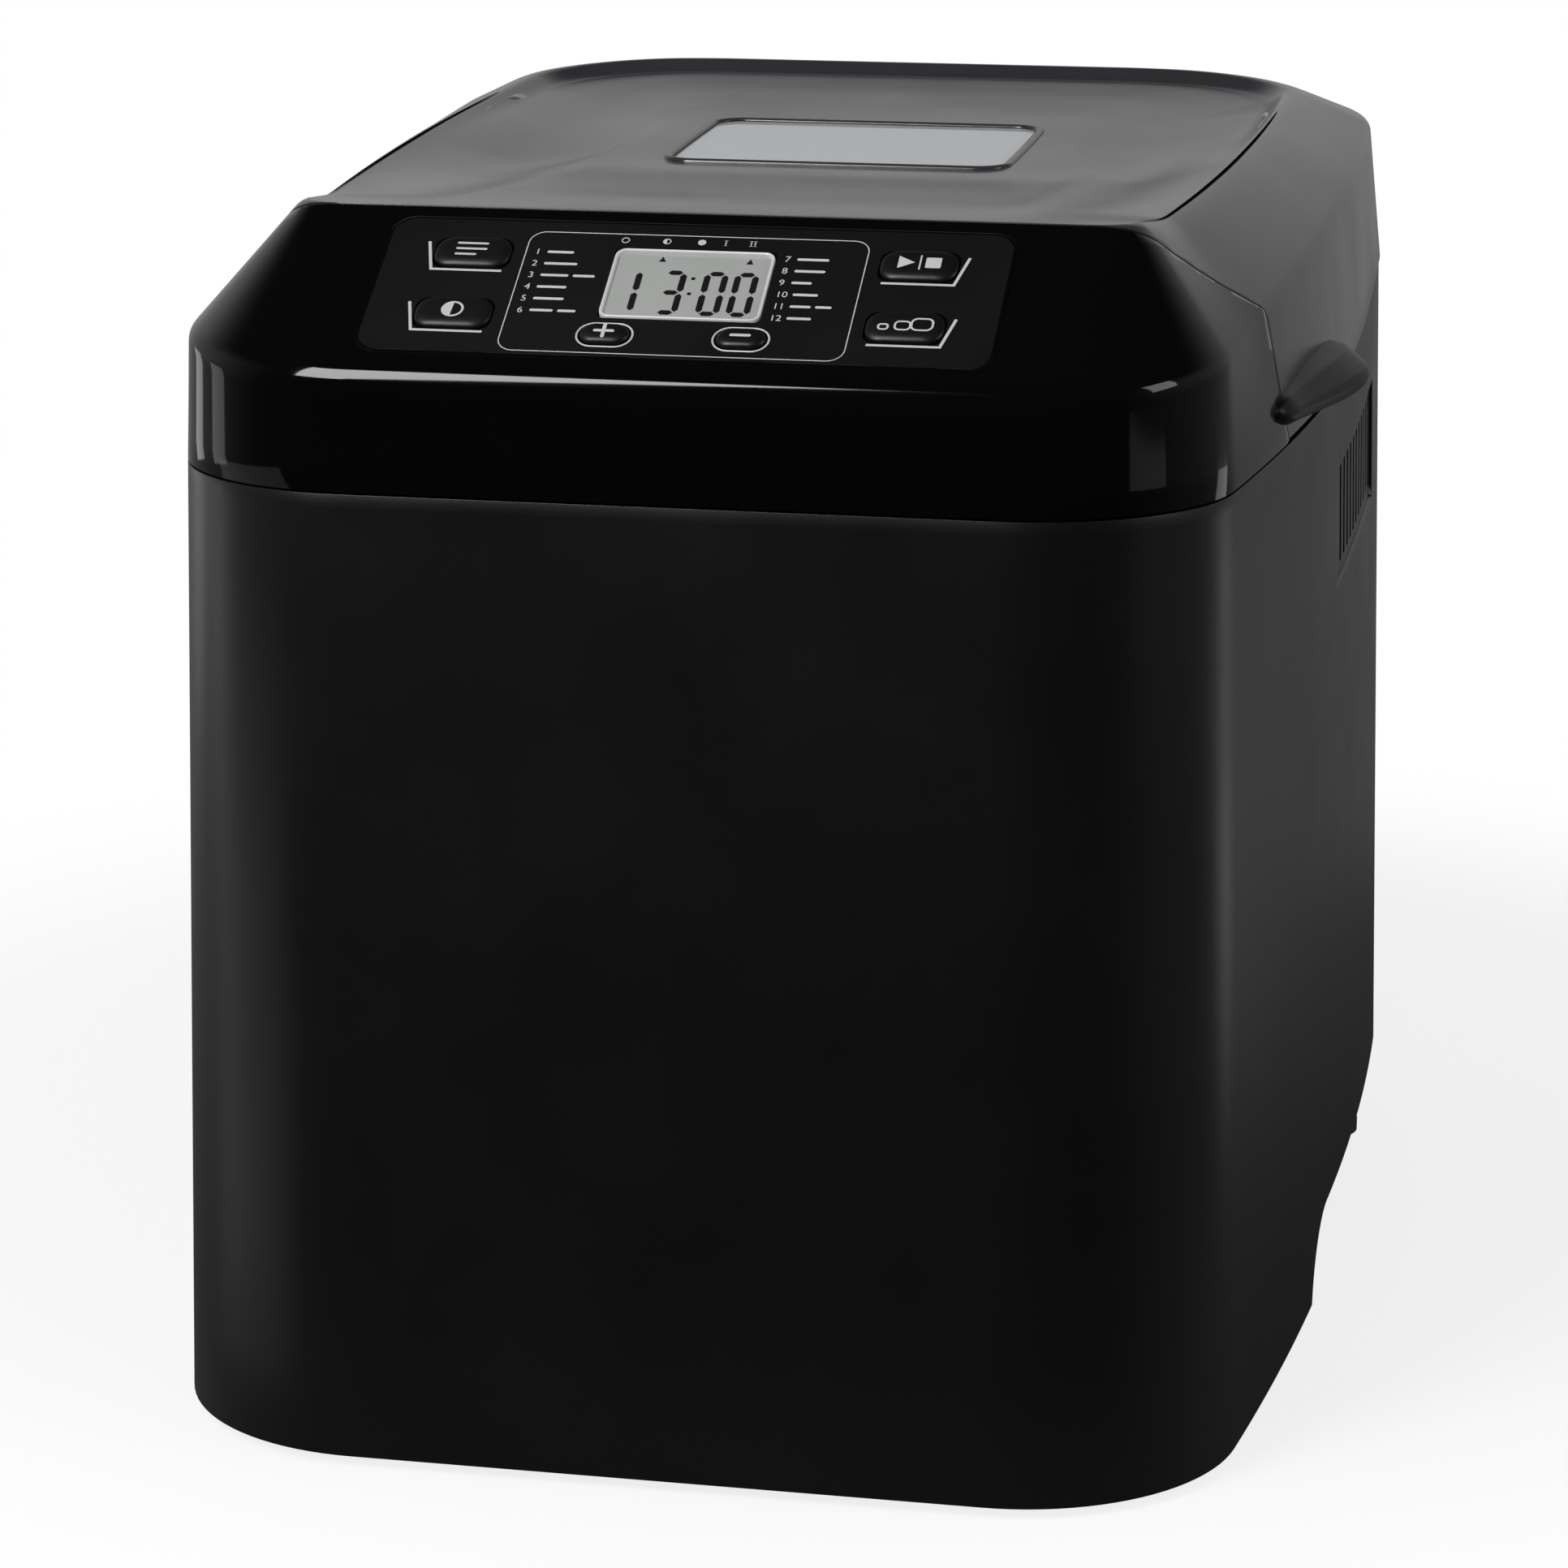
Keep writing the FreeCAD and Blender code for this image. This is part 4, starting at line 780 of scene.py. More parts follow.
def cut_skin(piece, lid_side):
    """Cuts the upper skin along the split and keeps the lid's side or the housing's, half a gap apart."""
    s = settings().shell
    half_gap = s.gap / 2 if lid_side else -s.gap / 2
    skin = bmesh.new()
    skin.from_mesh(piece.data)
    planes = [(spot + normal * half_gap, normal) for spot, normal in split_planes()]
    for spot, normal in planes:
        parts = skin.verts[:] + skin.edges[:] + skin.faces[:]
        bmesh.ops.bisect_plane(skin, geom=parts, plane_co=spot, plane_no=normal, dist=1e-7)
    unwanted = []
    for face in skin.faces:
        middle = face.calc_center_median()
        in_lid = any((middle - spot).dot(normal) > 0 for spot, normal in planes)
        if in_lid != lid_side:
            unwanted.append(face)
    bmesh.ops.delete(skin, geom=unwanted, context="FACES")
    skin.to_mesh(piece.data)
    skin.free()


def open_under_plate(piece):
    """Removes the housing's skin behind the control plate, so that the buttons have their opening."""
    p = settings().panel
    skin = bmesh.new()
    skin.from_mesh(piece.data)
    inside = []
    for face in skin.faces:
        spots = panel_place(np.array([corner.co for corner in face.verts]))
        across = np.abs(spots[:, 0]) < p.half_width - p.corner / 2
        along = (spots[:, 1] > p.low + p.corner / 4) & (spots[:, 1] < p.high - p.corner / 4)
        if np.all(across & along & (np.abs(spots[:, 2]) < p.corner / 4)):
            inside.append(face)
    bmesh.ops.delete(skin, geom=inside, context="FACES")
    skin.to_mesh(piece.data)
    skin.free()


# Panel coordinates: across, up the slope and out of it


def panel_axes():
    s = settings().shell
    start = np.array([0, -s.depth / 2, s.brow])
    run = np.array([0, s.panel_depth, s.panel_top - s.brow])
    up = run / np.linalg.norm(run)
    return start, np.array([[1, 0, 0], up, [0, -up[2], up[1]]])


def on_panel(spots):
    """Frame points from panel coordinates."""
    start, axes = panel_axes()
    return start + np.asarray(spots) @ axes


def panel_place(points):
    """Panel coordinates of frame points."""
    start, axes = panel_axes()
    return (points - start) @ axes.T


class BREAD_OT_body_shell(bpy.types.Operator):
    """Builds the satin body shell with its vents and lifted tail"""

    bl_idname = "bread.body_shell"
    bl_label = "Body Shell"

    def execute(self, context):
        s = settings().shell
        points, faces = body_skin()
        piece = add_piece("body_shell_skin", points, faces, "body_satin_black")
        thicken(piece, s.wall, s.gap)
        settle(piece, "body", "body_satin_black", "body_shell")
        return {"FINISHED"}


class BREAD_OT_upper_shells(bpy.types.Operator):
    """Builds the gloss control housing and the lid from one surface, split along the slanted seam"""

    bl_idname = "bread.upper_shells"
    bl_label = "Control Housing and Lid"

    def execute(self, context):
        s = settings().shell
        points = upper_skin()
        faces = grid_faces(*points.shape[:2])
        housing = add_piece("control_housing_skin", points, faces, "gloss_black")
        cut_skin(housing, lid_side=False)
        open_under_plate(housing)
        thicken(housing, s.wall, s.gap)
        settle(housing, "body", "gloss_black", "control_housing")
        lid = add_piece("lid_skin", points, faces, "lid_gloss")
        cut_skin(lid, lid_side=True)
        thicken(lid, s.wall, s.gap)
        settle(lid, "lid", "lid_gloss", "lid_shell")
        return {"FINISHED"}


class BREAD_OT_rim_crease(bpy.types.Operator):
    """Builds the painted shade of the fine crease: dark ribbons inside the lid's rim on both sides"""

    bl_idname = "bread.rim_crease"
    bl_label = "Rim Crease Shade"

    def execute(self, context):
        """Ribbons of painted shade between two rings of the lid's skin, along the sides, narrowed to nothing
        at their ends.
        """
        s = settings().shell
        rings = upper_skin()
        inner_end = SKIN_SPANS[0] + SKIN_SPANS[1] + 2 * BEND_STEPS + 1
        first, second = rings[inner_end - 1], rings[inner_end]
        crease_run = s.crest - s.top_corner * 2 - s.panel_depth
        share = (depth_of(first[:, 1]) - s.panel_depth - s.brink) / crease_run
        points = []
        faces = []
        for side in (-1, 1):
            chosen = (share > 0) & (share < 1) & (first[:, 0] * side > s.width / 4)
            taper = np.sqrt(np.sin(share[chosen] * math.pi))[:, None]
            edge = first[chosen] + [0, 0, s.gap / 3]
            faces.append(grid_faces(2, len(edge), closed=False) + len(points) * 2 * len(edge))
            points.append(np.array([edge, edge + (second[chosen] - first[chosen]) * taper]))
        # Painted shade: the ribbons are black with no reflection at all, standing in for the shade of the
        # rim's crease
        piece = add_piece("rim_crease", np.array(points), np.array(faces), "crease_shade")
        settle(piece, "lid", "gloss_black")
        return {"FINISHED"}


# Outward and upward shares of the tab's section, from below the root round the edge to above the root
TAB_SECTION = ((0.0, -0.5), (0.5, -0.44), (0.92, -0.3), (1.0, -0.14), (0.95, 0.02), (0.5, 0.32), (0.0, 0.4))
# Shares of the tab's length that its rounded ends take, and over which reach and thickness grow
TAB_FRONT_END = 0.1
TAB_REAR_END = 0.24
REACH_GROWTH = 0.8
THICK_GROWTH = 0.6
# Shares of reach and thickness that the tab has at its front
FRONT_REACH = 0.35
FRONT_THICK = 0.6


class BREAD_OT_thumb_tab(bpy.types.Operator):
    """Builds the leaf-shaped thumb tab on the lid's right side"""

    bl_idname = "bread.thumb_tab"
    bl_label = "Thumb Tab"

    def execute(self, context):
        """A seven-point section, with a ridge above and a blunt outer edge, is carried along the lid's side.

        Both ends are quarter ellipses, a short one in front and a longer one behind; in between reach and
        thickness grow to the rear by smooth steps.
        """
        s = settings().shell
        t = settings().tab
        along = (1 - np.cos(np.linspace(0, math.pi, 49)))[:, None] / 2
        out, up = np.array(TAB_SECTION).T[:, None, :]
        front_end = np.sqrt(1 - (1 - np.clip(along / TAB_FRONT_END, 0, 1)) ** 2)
        rear_end = np.sqrt(1 - np.clip((along - 1) / TAB_REAR_END + 1, 0, 1) ** 2)
        reach_share = FRONT_REACH + (1 - FRONT_REACH) * soft_step(along / REACH_GROWTH)
        thick_share = FRONT_THICK + (1 - FRONT_THICK) * soft_step(along / THICK_GROWTH)
        spread = front_end * rear_end * reach_share
        thick = front_end * np.sqrt(rear_end) * thick_share
        y = t.start + along * t.run - s.depth / 2
        bow_drop = s.bow - np.sqrt(s.bow ** 2 - (depth_of(y) - s.widest) ** 2)
        side = s.width / 2 - bow_drop - s.wall / 2
        x = side + t.reach * spread * out
        z = t.low + t.tall / 2 + t.tall * thick * up
        points = np.stack(np.broadcast_arrays(x, y, z), -1)
        faces = grid_faces(*points.shape[:2], closed=False)[:, :, ::-1]
        piece = add_piece("thumb_tab", points, faces, "dark_grey")
        piece.data.set_sharp_from_angle(angle=math.radians(20))
        bevel = piece.modifiers.new("edges", "BEVEL")
        bevel.width = t.tall / 16
        bevel.segments = 3
        bevel.angle_limit = math.radians(24)
        settle(piece, "lid", "dark_grey", "lid_tab")
        return {"FINISHED"}


# Marks and pieces of the control panel, in panel coordinates


def rounded_box(width, height, radius, centre=(0, 0), steps=7):
    """Closed outline of a rectangle, anticlockwise, with a quarter circle about each corner's hub."""
    turns = np.linspace(0, math.pi / 2, steps)
    quarters = np.arange(4)[:, None] * math.pi / 2 + turns
    signs = np.array([[1, 1], [-1, 1], [-1, -1], [1, -1]])
    hubs = signs * [width / 2 - radius, height / 2 - radius]
    ring = hubs[:, None, :] + radius * np.stack([np.cos(quarters), np.sin(quarters)], -1)
    return ring.reshape(-1, 2) + centre


def line_mark(path, width, base, tall, closed=False):
    """Printed or moulded line: a low ridge of three points across, carried along a path with mitred turns."""
    path = np.asarray(path, float)
    ahead = np.roll(path, -1, 0) - path
    behind = path - np.roll(path, 1, 0)
    if not closed:
        ahead[-1] = behind[-1]
        behind[0] = ahead[0]
    normals = []
    for way in (ahead, behind):
        way = way / np.linalg.norm(way, axis=1, keepdims=True)
        normals.append(np.stack([-way[:, 1], way[:, 0]], 1))
    total = normals[0] + normals[1]
    mitre = 2 * total / np.sum(total * total, 1, keepdims=True)
    across = np.array([0.5, 0.0, -0.5]) * width
    flat = path[:, None, :] + mitre[:, None, :] * across[None, :, None]
    height = np.broadcast_to(base + tall * np.array([0.0, 1.0, 0.0]), flat.shape[:2])
    points = np.concatenate([flat, height[..., None]], -1)
    if closed:
        points = np.concatenate([points, points[:1]])
    faces = grid_faces(*points.shape[:2], closed=False)[:, :, ::-1].reshape(-1, 4)
    return points.reshape(-1, 3), faces.tolist()


def flat_mark(ring, base):
    """Filled mark with one face inside its outline."""
    points = np.column_stack([ring, np.full(len(ring), base)])
    return points, [list(range(len(ring)))]


def bar_mark(x, along, width, tall, base):
    return flat_mark(rounded_box(width, tall, tall * 0.45, (x + width / 2, along), 4), base)


def disc(x, along, radius, start=0.0, end=2 * math.pi):
    """Outline of a disc, or of a part of one between two turns."""
    turns = np.linspace(start, end, 29)[:-1]
    return np.array([x, along]) + radius * np.stack([np.cos(turns), np.sin(turns)], 1)


def number_mark(text, x, along, size, base):
    """Plain figures as flat faces, with their lower left corner at the place given."""
    curve = bpy.data.curves.new("figures", "FONT")
    curve.body = text
    curve.size = size
    writer = bpy.data.objects.new("figures", curve)
    mesh = bpy.data.meshes.new_from_object(writer)
    flat = np.empty(len(mesh.vertices) * 3)
    mesh.vertices.foreach_get("co", flat)
    points = flat.reshape(-1, 3) + [x, along, base]
    faces = [list(face.vertices) for face in mesh.polygons]
    bpy.data.objects.remove(writer)
    bpy.data.curves.remove(curve)
    bpy.data.meshes.remove(mesh)
    return points, faces


SEGMENTS = {"0": "abcdef", "1": "bc", "3": "abcdg"}


def digit_marks(digit, x, along, width, tall, base):
    """Seven-segment figure: each lit segment is a bar with pointed ends."""
    stroke = width * 0.27
    gap = stroke * 0.2
    half = tall / 2
    left, right = x + stroke / 2, x + width - stroke / 2
    low, middle, high = along + stroke / 2, along + half, along + tall - stroke / 2
    ends = {
        "a": ((left, high), (right, high)), "b": ((right, middle), (right, high)),
        "c": ((right, low), (right, middle)), "d": ((left, low), (right, low)),
        "e": ((left, low), (left, middle)), "f": ((left, middle), (left, high)),
        "g": ((left, middle), (right, middle)),
    }
    marks = []
    for segment in SEGMENTS[digit]:
        start, end = np.array(ends[segment])
        way = (end - start) / np.linalg.norm(end - start)
        side = np.array([-way[1], way[0]]) * stroke / 2
        start = start + way * gap
        end = end - way * gap
        inner = way * stroke / 2
        ring = np.array([start, start + inner - side, end - inner - side, end, end - inner + side,
                         start + inner + side])
        marks.append(flat_mark(ring, base))
    return marks


def add_marks(name, marks, finish, body, slot):
    """One piece from several marks, set on the panel's slope."""
    points = []
    faces = []
    start = 0
    for spots, corners in marks:
        points.append(on_panel(spots))
        faces.extend([[corner + start for corner in face] for face in corners])
        start += len(spots)
    piece = add_piece(name, np.vstack(points), faces, finish, smooth=False)
    settle(piece, body, slot)


def pillow(ring, base, top, skirt):
    """Soft key top: rings that shrink to the middle, raised by the root of one minus a high power of the
    distance, with a skirt down into the panel."""
    middle = ring.mean(0)
    shares = np.sin(np.linspace(0.02, 1, 18) * math.pi / 2)
    heights = base + (top - base) * np.sqrt(np.maximum(1 - shares ** 5, 0))
    rows = [np.column_stack([middle + (ring - middle) * share, np.full(len(ring), height)])
            for share, height in zip(shares, heights)]
    rows.append(np.column_stack([ring, np.full(len(ring), skirt)]))
    points = np.array(rows)[::-1]
    faces = grid_faces(*points.shape[:2]).reshape(-1, 4).tolist()
    last = (len(points) - 1) * len(ring)
    faces.append(list(range(last, last + len(ring))))
    return on_panel(points), faces


class BREAD_OT_large_buttons(bpy.types.Operator):
    """Builds the four large buttons with their signs"""

    bl_idname = "bread.large_buttons"
    bl_label = "Large Buttons"

    def execute(self, context):
        p = settings().panel
        top = p.proud + p.button_proud
        sign = top + p.ink
        spots = {
            "menu_button": (-p.button_x, p.upper), "crust_button": (-p.button_x, p.lower),
            "start_button": (p.button_x, p.upper), "loaf_size_button": (p.button_x, p.lower),
        }
        unit = p.button_tall / 9
        signs = {name: [] for name in spots}
        x, along = spots["menu_button"]
        for i, share in enumerate((6.6, 6.6, 4.6)):
            signs["menu_button"].append(
                bar_mark(x - 3.4 * unit, along + (1.7 - 1.7 * i) * unit, share * unit, 0.6 * unit, sign))
        x, along = spots["crust_button"]
        circle = disc(x, along, 2.1 * unit)
        signs["crust_button"] = [line_mark(circle, 0.5 * unit, sign, p.ink, closed=True),
                                 flat_mark(disc(x, along, 1.9 * unit, math.pi / 2, 1.5 * math.pi), sign)]
        x, along = spots["start_button"]
        wedge = np.array([[-4.2, -1.9], [-0.8, 0.0], [-4.2, 1.9]]) * unit + [x, along]
        stroke = np.array([[0.3, -2.2], [0.3, 2.2]]) * unit + [x, along]
        block = rounded_box(3.2 * unit, 3.2 * unit, 0.3 * unit, (x + 3 * unit, along))
        signs["start_button"] = [flat_mark(wedge, sign), line_mark(stroke, 0.35 * unit, sign, p.ink),
                                 flat_mark(block, sign)]
        x, along = spots["loaf_size_button"]
        for i, share in enumerate((1.9, 3.1, 4.3)):
            loaf = rounded_box(share * unit, share * unit * 0.8, share * unit * 0.3,
                               (x + (-4.2 + 3.9 * i) * unit, along + (share - 4.3) * 0.4 * unit))
            signs["loaf_size_button"].append(line_mark(loaf, 0.45 * unit, sign, p.ink, closed=True))
        for name, spot in spots.items():
            ring = rounded_box(p.button_width, p.button_tall, p.button_tall * 0.4, spot)
            points, faces = pillow(ring, p.proud, top, -8 * p.proud)
            piece = add_piece(name + "_cap", points, faces, "button_black")
            settle(piece, name, "button_black", name)
            add_marks(name + "_sign", signs[name], "panel_print", name, "display_grey")
        return {"FINISHED"}


class BREAD_OT_step_buttons(bpy.types.Operator):
    """Builds the plus and minus buttons with their signs"""

    bl_idname = "bread.step_buttons"
    bl_label = "Plus and Minus Buttons"

    def execute(self, context):
        p = settings().panel
        top = p.proud + p.button_proud
        arm = p.step_width * 0.19
        for name, way in (("plus_button", -1), ("minus_button", 1)):
            x = way * p.step_x
            ring = rounded_box(p.step_width - 4 * p.line, p.step_tall - 4 * p.line,
                               p.step_tall / 2 - 2 * p.line, (x, p.step_at))
            points, faces = pillow(ring, p.proud, top, -8 * p.proud)
            piece = add_piece(name + "_cap", points, faces, "button_black")
            settle(piece, name, "button_black", name)
            signs = [bar_mark(x - arm, p.step_at, 2 * arm, 2.4 * p.line, top + p.ink)]
            if name == "plus_button":
                upright = rounded_box(2.4 * p.line, 2 * arm, p.line, (x, p.step_at), 4)
                signs.append(flat_mark(upright, top + 2 * p.ink))
            add_marks(name + "_sign", signs, "panel_print", name, "display_grey")
        return {"FINISHED"}


# Numbered list on the plate, in ninths of a large button's height
BAR_LENGTHS = (5.6, 7.0, 11.4, 6.2, 6.4, 9.6, 6.6, 6.4, 4.2, 5.2, 8.6, 5.0)
COLUMN_STARTS = (-33.6, 18.6)
FIRST_ROW = 8.0
ROW_PITCH = 3.62
FIGURE_SIZE = 2.5
FIGURE_ROOM = 2.6
SECOND_FIGURE = 0.9
BAR_LIFT = 0.85
BAR_TALL = 0.75
# A longer bar than this is split in two by a gap, with a share of the rest in the first
LONGEST_BAR = 8.0
BAR_GAP = 0.9
FIRST_SHARE = 0.56


class BREAD_OT_panel_print(bpy.types.Operator):
    """Prints lines, figures and plain bars on the control plate"""

    bl_idname = "bread.panel_print"
    bl_label = "Panel Print"

    def execute(self, context):
        p = settings().panel
        base = p.proud + p.ink
        unit = p.button_tall / 9
        marks = []
        for way, along in ((-1, p.upper), (-1, p.lower), (1, p.upper), (1, p.lower)):
            corner = along - 5.3 * unit
            path = np.array([[56.4, along + 3.2 * unit], [54.3, corner], [39.4, corner]])
            path[:, 0] *= way * unit
            marks.append(line_mark(path[::way], 2 * p.line, base, p.ink))
        inset = rounded_box(2 * p.inset_half, p.inset_high - p.inset_low, 3.4 * unit,
                            (0, (p.inset_low + p.inset_high) / 2))
        marks.append(line_mark(inset, 0.7 * p.line, base, p.ink, closed=True))
        for way in (-1, 1):
            ring = rounded_box(p.step_width, p.step_tall, p.step_tall / 2 - p.line / 4,
                               (way * p.step_x, p.step_at))
            marks.append(line_mark(ring, 1.3 * p.line, base, 3 * p.ink, closed=True))
        for i, whole in enumerate(BAR_LENGTHS):
            side, row = divmod(i, len(BAR_LENGTHS) // 2)
            x = COLUMN_STARTS[side] * unit
            along = p.display_at + (FIRST_ROW - ROW_PITCH * row) * unit
            figures = str(i + 1)
            marks.append(number_mark(figures, x, along, FIGURE_SIZE * unit, base))
            start = x + (FIGURE_ROOM + SECOND_FIGURE * (len(figures) - 1)) * unit
            bars = [whole]
            if whole > LONGEST_BAR:
                first = (whole - BAR_GAP) * FIRST_SHARE
                bars = [first, whole - BAR_GAP - first]
            for bar in bars:
                marks.append(bar_mark(start, along + BAR_LIFT * unit, bar * unit, BAR_TALL * unit, base))
                start += (bar + BAR_GAP) * unit
        # Empty, half and full disc above the display, and three upright strokes beside them
        level = p.display_at + 13.2 * unit
        for i, x in enumerate((-15.4, -6.7, 0.6)):
            dot = disc(x * unit, level, 0.75 * unit)
            marks.append(line_mark(dot, 0.7 * p.line, base, p.ink, closed=True))
            if i:
                fill = disc(x * unit, level, 0.7 * unit, math.pi * (1.5 - i), math.pi * 1.5)
                marks.append(flat_mark(fill, base))
        for x in (5.6, 10.9, 11.7):
            marks.append(bar_mark(x * unit - 0.5 * p.line, level, p.line, 1.6 * unit, base))
        add_marks("panel_print", marks, "panel_print", "body", "display_grey")
        return {"FINISHED"}


class BREAD_OT_plate_edge(bpy.types.Operator):
    """Builds the fine raised edge round the control plate"""

    bl_idname = "bread.plate_edge"
    bl_label = "Plate Edge"

    def execute(self, context):
        p = settings().panel
        ring = rounded_box(2 * p.half_width - 2 * p.line, p.high - p.low - 2 * p.line, p.corner,
                           (0, (p.low + p.high) / 2), 12)
        edge = line_mark(ring, 2 * p.line, p.proud, p.line / 3, closed=True)
        add_marks("plate_edge", [edge], "gloss_black", "body", "gloss_black")
        return {"FINISHED"}


class BREAD_OT_display(bpy.types.Operator):
    """Builds the display with its rim, face and figures"""

    bl_idname = "bread.display"
    bl_label = "Display"

    def execute(self, context):
        """The rim is a rounded ridge carried round the display's outline; the face lies inside it, and the
        figures lie on the face."""
        p = settings().panel
        unit = p.display_tall / 21.4
        centre = (0, p.display_at)
        rim_width = 0.9 * unit
        face_at = p.proud - 0.5 * unit
        outer = rounded_box(p.display_width, p.display_tall, 2.3 * unit, centre, 10)
        inner = rounded_box(p.display_width - 2 * rim_width, p.display_tall - 2 * rim_width, 1.5 * unit,
                            centre, 10)
        share = np.linspace(0, 1, 9)[:, None, None]
        flat = outer * (1 - share) + inner * share
        ridge = 0.3 * unit * np.sin(np.linspace(0.15, 1, 7) * math.pi)
        rise = np.concatenate([[-1.2 * unit], ridge, [-0.9 * unit]])
        height = p.proud + np.broadcast_to(rise[:, None], flat.shape[:2])
        points = np.concatenate([flat, height[..., None]], -1)
        faces = grid_faces(*points.shape[:2])
        rim = add_piece("display_rim", on_panel(points), faces, "display_rim")
        settle(rim, "body", "display_grey", "display_lens")
        face = rounded_box(p.display_width - rim_width, p.display_tall - rim_width, 1.8 * unit, centre, 10)
        add_marks("display_face", [flat_mark(face, face_at)], "display_grey", "body", "display_grey")
        base = face_at + p.ink
        low = p.display_at - 8.8 * unit
        marks = []
        for digit, x in (("1", -14.9), ("3", -5.7), ("0", 2.9), ("0", 9.2)):
            marks.extend(digit_marks(digit, x * unit, low, 5.0 * unit, 13.6 * unit, base))
        for along in (-2.2, 2.5):
            marks.append(flat_mark(disc(0.7 * unit, p.display_at + along * unit, 0.45 * unit), base))
        for x in (-6.7, 11.5):
            wedge = np.array([[-0.75, -0.8], [0.75, -0.8], [0.0, 0.8]]) + [x, 8.2]
            marks.append(flat_mark(wedge * unit + centre, base))
        add_marks("display_figures", marks, "digit_ink", "body", "component_black")
        return {"FINISHED"}


class BREAD_OT_window_rim(bpy.types.Operator):
    """Builds the slim rim round the lid's window"""

    bl_idname = "bread.window_rim"
    bl_label = "Window Rim"

    def execute(self, context):
        """A half-round profile carried round the window's outline on the floor of the lid's hollow."""
        s = settings().shell
        ring = outline(pane_high.x + s.gap / 2, pane_low.y - s.gap / 2, pane_high.y + s.gap / 2,
                       WINDOW_CORNER, WINDOW_CORNER)
        normal = outward(ring)
        turns = np.linspace(0, math.pi, 9)
        across = s.wall * 0.35 * np.cos(turns)
        up = s.wall * 0.2 * np.sin(turns)
        rows = []
        for shift, height in zip(across, up):
            flat = ring + normal * shift
            rows.append(raised(flat, hollow_level(flat) + height))
        points = np.array(rows)
        piece = add_piece("window_rim", points, grid_faces(*points.shape[:2]), "lid_gloss")
        settle(piece, "lid", "lid_gloss")
        return {"FINISHED"}


class BREAD_OT_frame_finishes(bpy.types.Operator):
    """Gives every solid that still shows the finish of its record slot"""

    bl_idname = "bread.frame_finishes"
    bl_label = "Solid Finishes"

    def execute(self, context):
        for part in frame["record"]["subparts"]:
            node = frame["nodes"][part["node"]]
            node.data.materials.clear()
            node.data.materials.append(finishes[part["material_slot"]])
        plate = frame["nodes"]["control_plate"].data.materials
        plate[0] = finishes["control_plate_black"]
        return {"FINISHED"}


# Stage

# Axis, its values at the dark and the light end, and the greys of these ends
GLOSS_RAMPS = (("Y", -0.62, 0.25, 0.04, 1.0), ("X", 0.4, 0.1, 0.6, 1.0), ("Z", 0.7, 0.34, 0.03, 1.0),
               ("Z", -0.32, 0.12, 0.14, 0.5))
# Light that matt surfaces get from all sides
PLAIN_GREY = 0.35


def studio_world():
    """White for the camera and through glass; matt surfaces get a plain grey, and gloss sees a shaded one.

    The shade is the product of ramps along the axes: it darkens in front, to the right, overhead and below.
    """
    world = bpy.data.worlds.new("studio")
    world.use_nodes = True
    tree = world.node_tree
    tree.nodes.clear()
    end = tree.nodes.new("ShaderNodeOutputWorld")
    path = tree.nodes.new("ShaderNodeLightPath")
    place = tree.nodes.new("ShaderNodeTexCoord")
    axes = tree.nodes.new("ShaderNodeSeparateXYZ")
    link(tree, place, "Generated", axes, "Vector")
    around = None
    for axis, dark, light, low, high in GLOSS_RAMPS:
        ramp = tree.nodes.new("ShaderNodeMapRange")
        ramp.interpolation_type = "SMOOTHSTEP"
        ramp.inputs["From Min"].default_value = dark
        ramp.inputs["From Max"].default_value = light
        ramp.inputs["To Min"].default_value = low
        ramp.inputs["To Max"].default_value = high
        link(tree, axes, axis, ramp, "Value")
        if around:
            product = tree.nodes.new("ShaderNodeMath")
            product.operation = "MULTIPLY"
            link(tree, around, 0, product, 0)
            link(tree, ramp, "Result", product, 1)
            around = product
        else:
            around = ramp
    clear = tree.nodes.new("ShaderNodeMath")
    clear.operation = "MAXIMUM"
    link(tree, path, "Is Camera Ray", clear, 0)
    link(tree, path, "Is Transmission Ray", clear, 1)
    plain = tree.nodes.new("ShaderNodeMix")
    plain.inputs["A"].default_value = PLAIN_GREY
    link(tree, path, "Is Glossy Ray", plain, "Factor")
    link(tree, around, 0, plain, "B")
    strength = tree.nodes.new("ShaderNodeMath")
    strength.operation = "MAXIMUM"
    link(tree, plain, "Result", strength, 0)
    link(tree, clear, 0, strength, 1)
    light = tree.nodes.new("ShaderNodeBackground")
    light.inputs["Color"].default_value = (1.0, 1.0, 1.0, 1.0)
    link(tree, strength, 0, light, "Strength")
    link(tree, light, "Background", end, "Surface")
    bpy.context.scene.world = world


FLOOR_REACH = 0.4
FLOOR_BACK = 0.1
FLOOR_FADE_FROM = 0.55
FLOOR_MIRRORED = 0.12
FLOOR_WHITE = 0.8


